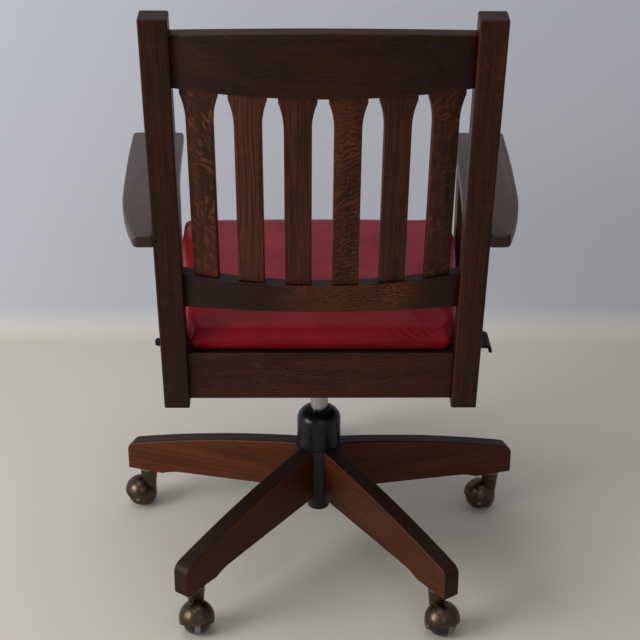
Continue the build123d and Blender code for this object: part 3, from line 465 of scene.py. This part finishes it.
def body_of_node(node: str) -> str:
    """Give the name of the body that a CAD node belongs to."""
    bodies = frame["record"]["behaviour"]["bodies"]
    return next(body for body, nodes in bodies.items() if node in nodes)


def merged_copy(node: str, name: str) -> bpy.types.Object:
    """Copy a CAD node's mesh into a new object, with its loose triangles joined.

    Args:
        node: The node to copy.
        name: The new object's name.

    Returns:
        The new object.
    """
    mesh = frame["nodes"][node].data.copy()
    mesh.name = name
    work = bmesh.new()
    work.from_mesh(mesh)
    bmesh.ops.remove_doubles(work, verts=work.verts, dist=1e-6)
    work.to_mesh(mesh)
    work.free()
    piece = bpy.data.objects.new(name, mesh)
    bpy.context.scene.collection.objects.link(piece)
    return piece


def polished(piece: bpy.types.Object, material: bpy.types.Material) -> None:
    """Give a piece one material and smooth shading with crisp edges.

    Args:
        piece: The finished mesh.
        material: The material for all its faces.
    """
    piece.data.materials.clear()
    piece.data.materials.append(material)
    piece.data.shade_smooth()
    piece.data.set_sharp_from_angle(angle=CRISP)


def settled(piece: bpy.types.Object) -> bpy.types.Object:
    """Turn a piece's modifiers into plain mesh.

    Args:
        piece: The object whose modifiers are applied.

    Returns:
        The same object.
    """
    graph = bpy.context.evaluated_depsgraph_get()
    mesh = bpy.data.meshes.new_from_object(piece.evaluated_get(graph))
    piece.modifiers.clear()
    piece.data = mesh
    return piece


@dataclass
class EasedBoard:
    """A board of the frame with its edges eased by a little sanding."""

    node: str
    width: float = 0.0014
    segments: int = 3
    flat: float = math.radians(0.5)
    sharp: float = math.radians(25)

    def build(self, material: bpy.types.Material) -> bpy.types.Object:
        """Round the sharp edges of the CAD board and stand it in that board's place.

        Args:
            material: The board's oak.

        Returns:
            The finished piece.
        """
        piece = merged_copy(self.node, f"{self.node}_eased")
        work = bmesh.new()
        work.from_mesh(piece.data)
        bmesh.ops.dissolve_limit(work, angle_limit=self.flat, verts=work.verts, edges=work.edges)
        work.to_mesh(piece.data)
        work.free()
        bevel = piece.modifiers.new("eased", "BEVEL")
        bevel.width = self.width
        bevel.segments = self.segments
        bevel.limit_method = "ANGLE"
        bevel.angle_limit = self.sharp
        bevel.harden_normals = False
        settled(piece)
        polished(piece, material)
        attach(piece, body_of_node(self.node))
        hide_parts(self.node)
        LOG.info("%s stands for %s", piece.name, self.node)
        return piece


@dataclass
class Woodwork:
    """All the oak of the chair: back, arms, seat frame and star base."""

    finishes: Finishes

    def slats(self) -> dict[str, OakFinish]:
        """Give each slat's own figure, counted from the sitter's left."""
        along, across = Grain.UP_THE_BACK.value
        figures = (
            {"fleck": 0.72, "slant": 0.95, "size": 0.9, "patch": 0.45, "tone": 1.2, "lines": 0.45},
            {"fleck": 0.1, "slant": 0.3, "tone": 1.66, "lines": 0.85},
            {"fleck": 0.06, "slant": 0.3, "tone": 1.17, "lines": 0.8},
            {"fleck": 0.6, "slant": -0.3, "ripple": 0.92, "patch": 0.35, "tone": 1.06, "lines": 0.3},
            {"fleck": 0.12, "slant": 0.4, "tone": 1.2, "lines": 0.7},
            {"fleck": 0.7, "slant": -0.75, "size": 0.7, "patch": 0.45, "tone": 0.95, "lines": 0.4},
        )
        return {
            f"back_slat_{place}": OakFinish(f"oak_slat_{place}", along, across, seed=1.7 * place, **figure)
            for place, figure in enumerate(figures, 1)
        }

    def boards(self) -> dict[str, OakFinish]:
        """Give the finish of the back's rails and posts, the arms and the seat frame."""
        back, upright, across, forward = (way.value for way in Grain)
        long_wave = {"ripple": 1.0, "slant": 1.45, "size": 0.62}
        fine_wave = {**long_wave, "size": 0.4}
        boards = {
            "left_rear_post": OakFinish("oak_left_post", *back, seed=11.0, tone=0.7, fleck=0.15),
            "right_rear_post": OakFinish("oak_right_post", *back, seed=12.3, tone=0.92, fleck=0.15),
            "top_rail": OakFinish(
                "oak_top_rail", *across, seed=13.1, tone=0.58, fleck=0.12, wear=0.9, **long_wave
            ),
            # The upward-face shares of the lower rail and the aprons paint shade onto their top faces.
            "lower_back_rail": OakFinish(
                "oak_lower_rail", *across, seed=14.9, tone=0.88, fleck=0.85, patch=0.35, fleck_from=-0.09,
                fleck_to=0.16, top_shade=0.8, flake=(0.21, 0.056, 0.0138), **fine_wave
            ),
            "rear_apron": OakFinish(
                "oak_rear_apron", *across, seed=15.2, tone=0.93, fleck=0.35, top_shade=0.85, **long_wave
            ),
            "front_apron": OakFinish(
                "oak_front_apron", *across, seed=16.8, fleck=0.3, top_shade=0.85, **long_wave
            ),
        }
        for side, seed, gloss in (("left", 21.0, 0.42), ("right", 25.0, 0.28)):
            boards[f"{side}_arm"] = OakFinish(
                f"oak_{side}_arm", *forward, seed=seed, fleck=0.2, roughness=0.36, gloss=gloss
            )
            boards[f"{side}_front_post"] = OakFinish(
                f"oak_{side}_front_post", *upright, seed=seed + 1, fleck=0.2
            )
            boards[f"{side}_apron"] = OakFinish(f"oak_{side}_apron", *forward, seed=seed + 2, fleck=0.25)
        return boards

    def legs(self) -> dict[str, OakFinish]:
        """Give each leg's finish, its grain running out from the hub."""
        finishes = {}
        # Each leg's tone carries painted light and shade as well as its board's colour, and its upward faces get
        # painted shade.
        for count, (name, tone) in enumerate(zip(LEG_NAMES, LEG_TONES_AND_SHADE)):
            low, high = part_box(f"{name}_leg")
            middle = (low + high) / 2
            out = Vector((middle.x, middle.y, 0.0)).normalized()
            finishes[f"{name}_leg"] = OakFinish(
                f"oak_{name}_leg", tuple(out), (0.0, 0.0, 1.0), seed=31.0 + 2.3 * count, tone=tone,
                fleck=0.06, dark=(0.05, 0.0128, 0.0042), body=(0.1, 0.0262, 0.0078), gloss=0.14,
                lines=0.66, top_shade=0.75, end_grain=0.7,
            )
        return finishes

    def build(self) -> None:
        """Finish every oak piece, and ease the edges of those that the frame leaves sharp."""
        sharp = ("back_slat", "apron", "arm")
        for node, finish in {**self.slats(), **self.boards(), **self.legs()}.items():
            material = self.finishes.oak(finish)
            if any(word in node for word in sharp):
                EasedBoard(node).build(material)
            else:
                dress(node, material)


@dataclass
class Cushion:
    """The stuffed leather cushion, swollen from the frame's solid, with its crease and pleats."""

    node: str = "seat_cushion"
    body: str = "seat"
    voxel: float = 0.005
    shrink: float = 0.0015
    swell: float = 0.0028
    pressure: float = 4.0
    stretch: float = 80.0
    frames: int = 20
    softening: int = 10
    rear_half: float = 0.1945
    side_height: float = 0.052
    square_top: float = 0.007
    square_foot: float = 0.008
    corner_reach: float = 0.018
    corner_fill: float = 0.009
    spread: float = 0.015
    front_spread: float = 0.0035
    roll_reach: float = 0.075
    roll: float = 0.017
    belly_height: float = 0.017
    belly_width: float = 0.009
    belly: float = 0.005
    tuck: float = 0.0028
    tuck_height: float = 0.011
    pleat_reach: float = 0.05
    pleat_depth: float = 0.0012
    pleat_count: float = 9.0
    ripple_place: Colour = (0.13, 0.0, 0.017)
    ripple_reach: float = 0.05
    ripple_pitch: float = 0.016
    ripple_depth: float = 0.0026
    ripple_slope: float = 1.6
    wrinkle_depth: float = 0.0005
    wrinkle_scale: Colour = (60.0, 18.0, 40.0)
    wrinkle_top: float = 0.35
    fill: float = 0.8

    def build(self, material: bpy.types.Material) -> bpy.types.Object:
        """Make the cushion and stand it in the CAD cushion's place.

        Args:
            material: The leather.

        Returns:
            The finished piece.
        """
        low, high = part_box(self.node)
        piece = merged_copy(self.node, "leather_cushion")
        remesh = piece.modifiers.new("even", "REMESH")
        remesh.mode = "VOXEL"
        remesh.voxel_size = self.voxel
        soften = piece.modifiers.new("soften", "SMOOTH")
        soften.factor = 0.5
        soften.iterations = self.softening
        settled(piece)
        self.fill_out(piece, low, high)
        self.inflate(piece, low.z)
        smooth = piece.modifiers.new("finer", "SUBSURF")
        smooth.levels = 1
        smooth.render_levels = 1
        settled(piece)
        self.sew(piece, low, high)
        piece.data.materials.clear()
        piece.data.materials.append(material)
        piece.data.shade_smooth()
        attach(piece, self.body)
        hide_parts(self.node)
        LOG.info("%s: %d points", piece.name, len(piece.data.vertices))
        return piece

    def fill_out(self, piece: bpy.types.Object, low: Vector, high: Vector) -> None:
        """Square the sides, fill the rear corners, spread the middle and roll the rear edge down.

        Args:
            piece: The evenly meshed cushion.
            low: Lowest corner of the CAD cushion.
            high: Its highest corner.
        """
        points = np.empty(len(piece.data.vertices) * 3)
        piece.data.vertices.foreach_get("co", points)
        across, forward, up = points.reshape(-1, 3).T
        half = np.interp(forward, (low.y, high.y), (self.rear_half, high.x))
        level = np.clip((up - low.z) / self.side_height, 0.0, 1.0)
        squared = (2 * level - 1) ** 2 * np.where(level > 0.5, self.square_top, self.square_foot)
        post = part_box("left_front_post")[0].y
        open_from = low.y + self.corner_reach
        corner = self.corner_fill * np.clip((open_from - forward) / self.corner_reach, 0.0, 1.0) ** 2
        share = np.clip((forward - open_from) / (post - open_from), 0.0, 1.0)
        wide = np.where(forward < post, self.spread * np.sin(np.pi * share) ** 0.25, self.front_spread)
        roll = self.roll * np.clip((low.y + self.roll_reach - forward) / self.roll_reach, 0.0, 1.0) ** 2
        across *= 1 + (squared + corner + wide) / half
        up -= roll * level
        piece.data.vertices.foreach_set("co", np.column_stack((across, forward, up)).ravel())

    def inflate(self, piece: bpy.types.Object, floor: float) -> None:
        """Swell the cushion with cloth under pressure, its under side held.

        Args:
            piece: The evenly meshed cushion.
            floor: Height of its under side.
        """
        mesh = piece.data
        count = len(mesh.vertices)
        rest = np.empty(count * 3)
        normals = np.empty(count * 3)
        mesh.vertices.foreach_get("co", rest)
        mesh.vertices.foreach_get("normal", normals)
        rest, normals = rest.reshape(-1, 3), normals.reshape(-1, 3)
        held = rest[:, 2] < floor + self.voxel
        start = rest - normals * np.where(held, 0.0, self.shrink)[:, None]
        mesh.vertices.foreach_set("co", start.ravel())
        pins = piece.vertex_groups.new(name="held")
        pins.add([int(place) for place in np.flatnonzero(held)], 1.0, "REPLACE")
        cloth = piece.modifiers.new("stuffing", "CLOTH")
        cloth.settings.use_pressure = True
        cloth.settings.uniform_pressure_force = self.pressure
        cloth.settings.tension_stiffness = self.stretch
        cloth.settings.compression_stiffness = self.stretch
        cloth.settings.effector_weights.gravity = 0.0
        cloth.settings.vertex_group_mass = pins.name
        cloth.collision_settings.use_collision = False
        for step in range(1, self.frames + 1):
            bpy.context.scene.frame_set(step)
        settled(piece)
        swollen = np.empty(count * 3)
        piece.data.vertices.foreach_get("co", swollen)
        move = swollen.reshape(-1, 3) - rest
        length = np.linalg.norm(move, axis=1, keepdims=True)
        capped = rest + move * np.minimum(1.0, self.swell / np.maximum(length, 1e-9))
        piece.data.vertices.foreach_set("co", capped.ravel())
        bpy.context.scene.frame_set(1)
        piece.vertex_groups.clear()

    def sew(self, piece: bpy.types.Object, low: Vector, high: Vector) -> None:
        """Give the leather its low belly, its tucked under edge, corner pleats and fine wrinkles.

        Args:
            piece: The smooth cushion.
            low: Lowest corner of the CAD cushion.
            high: Its highest corner.
        """
        corners = [
            Vector((side * half, y))
            for side in (-1, 1)
            for half, y in ((self.rear_half, low.y), (high.x, high.y))
        ]
        rippled = Vector(self.ripple_place) + Vector((0.0, low.y, low.z))
        moved = []
        for point in piece.data.vertices:
            place, normal = point.co.copy(), point.normal.copy()
            side = max(0.0, 1.0 - abs(normal.z))
            rise = place.z - low.z
            from_belly = (rise - self.belly_height) / self.belly_width
            out = self.belly * abs(normal.y) * math.exp(-(from_belly**2))
            out -= self.tuck * max(0.0, 1.0 - rise / self.tuck_height) ** 2
            near = min(corners, key=lambda corner: (corner - place.xy).length)
            offset = place.xy - near
            fade = max(0.0, 1.0 - offset.length / self.pleat_reach)
            turn = math.atan2(offset.y, offset.x)
            out -= self.pleat_depth * fade * (0.5 + 0.5 * math.sin(self.pleat_count * turn))
            away = place - rippled
            fade = max(0.0, 1.0 - away.length / self.ripple_reach)
            wave = (away.x + self.ripple_slope * away.z) * math.tau / self.ripple_pitch
            out += self.ripple_depth * fade * math.sin(wave)
            drawn = place * Vector(self.wrinkle_scale)
            wrinkle = self.wrinkle_depth * noise.noise(drawn) * (self.wrinkle_top + side)
            moved.append(place + normal * (out * side + wrinkle))
        for point, place in zip(piece.data.vertices, moved):
            place.z = max(place.z, low.z)
            point.co = place


@dataclass
class Casters:
    """Five hooded ball casters: aged metal hoods, dark balls with a grey tread band."""

    tread_radius: float = 0.02325
    tread_half: float = 0.00465

    def build(
        self,
        hood: bpy.types.Material,
        pin: bpy.types.Material,
        ball: bpy.types.Material,
        band: bpy.types.Material,
    ) -> None:
        """Finish the casters.

        Args:
            hood: Metal of the hoods.
            pin: Metal of the stems, axles and sockets.
            ball: Material of the balls.
            band: Material of the tread bands.
        """
        joints = {joint["name"]: joint for joint in frame["joints"]}
        dress("caster_sockets", pin)
        for name in LEG_NAMES:
            dress(f"{name}_caster_hood", hood)
            dress(f"{name}_caster_pins", pin)
            wheel = f"{name}_caster_wheel"
            dress(wheel, ball)
            roll = joints[f"{name}_wheel_roll"]
            self.band(frame["nodes"][wheel].data, Vector(roll["pos_m"]), Vector(roll["axis"]), band)

    def band(self, mesh: bpy.types.Mesh, centre: Vector, axle: Vector, material: bpy.types.Material) -> None:
        """Give the faces of a ball's tread their own material.

        Args:
            mesh: The ball's mesh.
            centre: The ball's centre.
            axle: Direction of its axle.
            material: The tread's material.
        """
        mesh.materials.append(material)
        for face in mesh.polygons:
            spans = [mesh.vertices[corner].co - centre for corner in face.vertices]
            lengths = [span.dot(axle) for span in spans]
            radii = [(span - axle * length).length for span, length in zip(spans, lengths)]
            if min(radii) > self.tread_radius and max(map(abs, lengths)) < self.tread_half:
                face.material_index = 1


@dataclass
class PlateBolts:
    """Bolts that hold the tilt plate to the cross rails, repeated by geometry nodes."""

    body: str = "seat"
    pitch: float = 0.046
    radius: float = 0.0058
    height: float = 0.004
    plate: float = 0.003
    rows: int = 4

    def build(self, material: bpy.types.Material) -> bpy.types.Object:
        """Set a row of bolt heads under each end of the plate.

        Args:
            material: The bolts' metal.

        Returns:
            The finished piece.
        """
        rail_low, rail_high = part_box("cross_rails")
        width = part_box("front_apron")[1].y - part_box("front_apron")[0].y
        under = rail_low.z - self.plate
        mesh = bpy.data.meshes.new("plate_bolts")
        half = self.pitch * (self.rows - 1) / 2
        places = [
            (self.pitch * count - half, y, under)
            for y in (rail_low.y + width, rail_high.y - width)
            for count in range(self.rows)
        ]
        mesh.from_pydata(places, [], [])
        piece = bpy.data.objects.new("plate_bolts", mesh)
        bpy.context.scene.collection.objects.link(piece)
        tree, sockets = self.tree()
        modifier = piece.modifiers.new("heads", "NODES")
        modifier.node_group = tree
        for label, value in (("Radius", self.radius), ("Height", self.height), ("Metal", material)):
            modifier[sockets[label]] = value
        settled(piece)
        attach(piece, self.body)
        LOG.info("%s: %d heads", piece.name, len(places))
        return piece

    def tree(self) -> tuple[bpy.types.NodeTree, dict[str, str]]:
        """Build the tree that puts a six-sided head on each point.

        Returns:
            The tree, and its input sockets' identifiers by name.
        """
        tree = bpy.data.node_groups.new("bolt_heads", "GeometryNodeTree")
        tree.interface.new_socket("Geometry", in_out="INPUT", socket_type="NodeSocketGeometry")
        kinds = {"Radius": "NodeSocketFloat", "Height": "NodeSocketFloat", "Metal": "NodeSocketMaterial"}
        made = {k: tree.interface.new_socket(k, in_out="INPUT", socket_type=v) for k, v in kinds.items()}
        tree.interface.new_socket("Geometry", in_out="OUTPUT", socket_type="NodeSocketGeometry")
        sketch = NodeSketch(tree)
        given = sketch.add("NodeGroupInput").outputs
        sizes = {"Vertices": 6, "Radius": given["Radius"], "Depth": given["Height"]}
        head = sketch.add("GeometryNodeMeshCylinder", sizes).outputs[0]
        points = sketch.add("GeometryNodeMeshToPoints", {"Mesh": given["Geometry"]}).outputs[0]
        heads = sketch.add("GeometryNodeInstanceOnPoints", {"Points": points, "Instance": head}).outputs[0]
        real = sketch.add("GeometryNodeRealizeInstances", {"Geometry": heads}).outputs[0]
        coloured = sketch.add("GeometryNodeSetMaterial", {"Geometry": real, "Material": given["Metal"]})
        sink = sketch.add("NodeGroupOutput")
        tree.links.new(coloured.outputs[0], sink.inputs[0])
        return tree, {k: socket.identifier for k, socket in made.items()}


@dataclass
class CoilSpring:
    """The tilt spring between the housing's tray and its cup."""

    node: str = "tilt_spring"
    slimming: float = 0.0006

    def build(self, material: bpy.types.Material) -> bpy.types.Object:
        """Stand a slightly slimmed copy of the CAD spring in that spring's place.

        Args:
            material: The spring's metal.

        Returns:
            The finished piece.
        """
        piece = merged_copy(self.node, "coil_spring")
        slim = [point.co - point.normal * self.slimming for point in piece.data.vertices]
        for point, place in zip(piece.data.vertices, slim):
            point.co = place
        polished(piece, material)
        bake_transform(piece)
        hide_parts(self.node)
        LOG.info("%s stands for %s", piece.name, self.node)
        return piece


@dataclass
class Metalwork:
    """Lift, tilt mechanism, levers and hidden frame wood."""

    finishes: Finishes

    def build(self) -> None:
        """Finish the metal and plastic pieces and the casters."""
        plain_finishes = (
            PlainFinish("black_paint", (0.007, 0.007, 0.0075), 0.34, mottle=0.12),
            PlainFinish("black_plastic", (0.0042, 0.0044, 0.005), 0.26, mottle=0.1, gloss=0.3),
            PlainFinish("lift_steel", (0.42, 0.42, 0.435), 0.2, metallic=1.0, mottle=0.12),
            PlainFinish("dull_steel", (0.24, 0.225, 0.2), 0.45, metallic=1.0, mottle=0.2),
            PlainFinish("lever_grip", (0.006, 0.0062, 0.0066), 0.5, mottle=0.12, gloss=0.14),
            PlainFinish("zinc_steel", (0.48, 0.47, 0.45), 0.34, metallic=1.0, mottle=0.18),
            PlainFinish(
                "inner_wood", (0.03, 0.0165, 0.009), 0.6, mottle=0.1, gloss=0.1,
                stain=(0.014, 0.0085, 0.005), stain_share=0.8,
            ),
            PlainFinish(
                "aged_bronze", (0.1, 0.07, 0.047), 0.3, metallic=1.0, mottle=0.14, mottle_scale=120.0,
                stain=(0.05, 0.035, 0.025), stain_share=0.7,
            ),
            PlainFinish("ball_plastic", (0.009, 0.009, 0.0092), 0.24, mottle=0.12, gloss=0.4),
            PlainFinish("tread_rubber", (0.16, 0.155, 0.145), 0.55, mottle=0.15),
        )
        made = {finish.name: self.finishes.plain(finish) for finish in plain_finishes}
        groups = {
            "black_paint": ("base_hub", "gas_column", "tilt_housing", "seat_plate"),
            "black_plastic": ("column_cover", "tension_knob", "guide_bush"),
            "lever_grip": ("height_lever", "tilt_lock_lever"),
            "lift_steel": ("gas_cylinder",),
            "zinc_steel": (
                "piston_rod", "thrust_bearing", "tilt_axle", "tension_bolt", "spring_cup", "valve_pin",
            ),
            "inner_wood": ("seat_board", "seat_cleats", "cross_rails"),
        }
        for name, nodes in groups.items():
            for node in nodes:
                dress(node, made[name])
        Casters().build(
            made["aged_bronze"], made["dull_steel"], made["ball_plastic"], made["tread_rubber"]
        )
        PlateBolts().build(made["zinc_steel"])
        CoilSpring().build(made["zinc_steel"])


@dataclass
class Studio:
    """Pale floor with a wall swept up behind, soft lamps, and the photograph's viewpoint."""

    floor: Colour = (0.6, 0.56, 0.485)
    wall: Colour = (0.52, 0.535, 0.59)
    wall_y: float = 0.84
    sweep: float = 0.06
    reach: float = 5.0
    camera_place: Colour = (-0.02594, -2.04776, 1.34084)
    pitch: float = math.radians(24.46)
    yaw: float = math.radians(0.756)
    roll: float = math.radians(0.28)
    lens: float = 78.75
    sensor: float = 36.0
    aim_height: float = 0.5
    sky_colour: Colour = (0.93, 0.95, 1.0)
    sky_strength: float = 0.3

    def build(self) -> None:
        """Set the stage, the lamps and the camera."""
        self.backdrop()
        self.lamp("key", (-3.0, -1.5, 1.5), 1.8, 84.0)
        self.lamp("fill", (0.6, -3.0, 1.8), 2.0, 9.0)
        self.lamp("top", (-0.4, -0.2, 3.2), 2.4, 28.0)
        self.sky()
        self.camera()
        bpy.context.scene.view_settings.view_transform = "Standard"

    def backdrop(self) -> None:
        """Make the floor and wall as one sheet, seen only from its own side."""
        steps = 8
        turns = [math.pi / 2 * step / steps for step in range(steps + 1)]
        start = self.wall_y - self.sweep
        bend = [
            (start + self.sweep * math.sin(turn), self.sweep * (1 - math.cos(turn))) for turn in turns
        ]
        profile = [(-self.reach, 0.0), *bend, (self.wall_y, self.reach)]
        points = [(x, y, z) for y, z in profile for x in (-self.reach, self.reach)]
        faces = [(2 * row, 2 * row + 1, 2 * row + 3, 2 * row + 2) for row in range(len(profile) - 1)]
        mesh = bpy.data.meshes.new("backdrop")
        mesh.from_pydata(points, [], faces)
        sheet = bpy.data.objects.new("backdrop", mesh)
        bpy.context.scene.collection.objects.link(sheet)
        mesh.materials.append(self.backdrop_material())
        mesh.shade_smooth()

    def backdrop_material(self) -> bpy.types.Material:
        """Make the backdrop's matt paint, clear when seen from behind.

        Returns:
            The material.
        """
        material = bpy.data.materials.new("backdrop")
        material.use_nodes = True
        sketch = NodeSketch(material.node_tree)
        shader = material.node_tree.nodes["Principled BSDF"]
        shader.inputs["Roughness"].default_value = 0.85
        place = sketch.add("ShaderNodeTexCoord").outputs["Object"]
        height = sketch.add("ShaderNodeSeparateXYZ", {0: place}).outputs["Z"]
        paint = sketch.mix(sketch.ramp(height, 0.0, self.sweep), (*self.floor, 1.0), (*self.wall, 1.0))
        sketch.tree.links.new(paint, shader.inputs["Base Color"])
        behind = sketch.add("ShaderNodeNewGeometry").outputs["Backfacing"]
        clear = sketch.add("ShaderNodeBsdfTransparent")
        choice = sketch.add("ShaderNodeMixShader", {0: behind, 1: shader.outputs[0], 2: clear.outputs[0]})
        sink = material.node_tree.nodes["Material Output"]
        sketch.tree.links.new(choice.outputs[0], sink.inputs["Surface"])
        return material

    def lamp(self, name: str, place: Colour, size: float, power: float) -> None:
        """Hang one soft lamp aimed at the middle of the chair.

        Args:
            name: The lamp's name.
            place: Where it hangs.
            size: Length of its sides.
            power: Its power in watts.
        """
        data = bpy.data.lights.new(name, "AREA")
        data.size = size
        data.energy = power
        lamp = bpy.data.objects.new(name, data)
        bpy.context.scene.collection.objects.link(lamp)
        lamp.location = place
        aim = Vector((0.0, 0.0, self.aim_height)) - Vector(place)
        lamp.rotation_euler = aim.to_track_quat("-Z", "Y").to_euler()

    def sky(self) -> None:
        """Light the whole scene evenly from a pale surrounding."""
        world = bpy.data.worlds.new("studio")
        bpy.context.scene.world = world
        world.use_nodes = True
        light = world.node_tree.nodes["Background"]
        light.inputs["Color"].default_value = (*self.sky_colour, 1.0)
        light.inputs["Strength"].default_value = self.sky_strength

    def camera(self) -> None:
        """Stand the camera where the photograph was taken from."""
        level = math.cos(self.pitch)
        ahead = Vector((math.sin(self.yaw) * level, math.cos(self.yaw) * level, -math.sin(self.pitch)))
        right = Vector((math.cos(self.yaw), -math.sin(self.yaw), 0.0))
        up = right.cross(ahead)
        tilted = right * math.cos(self.roll) + up * math.sin(self.roll)
        risen = up * math.cos(self.roll) - right * math.sin(self.roll)
        data = bpy.data.cameras.new("camera")
        data.lens = self.lens
        data.sensor_width = self.sensor
        camera = bpy.data.objects.new("camera", data)
        bpy.context.scene.collection.objects.link(camera)
        turn = Matrix((tilted, risen, -ahead)).transposed()
        camera.matrix_world = Matrix.Translation(self.camera_place) @ turn.to_4x4()
        bpy.context.scene.camera = camera


def main() -> None:
    """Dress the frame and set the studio."""
    logging.basicConfig(level=logging.INFO, format="%(name)s: %(message)s")
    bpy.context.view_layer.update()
    finishes = Finishes()
    Woodwork(finishes).build()
    Cushion().build(finishes.leather(LeatherFinish()))
    Metalwork(finishes).build()
    Studio().build()


if __name__ == "__main__":
    main()
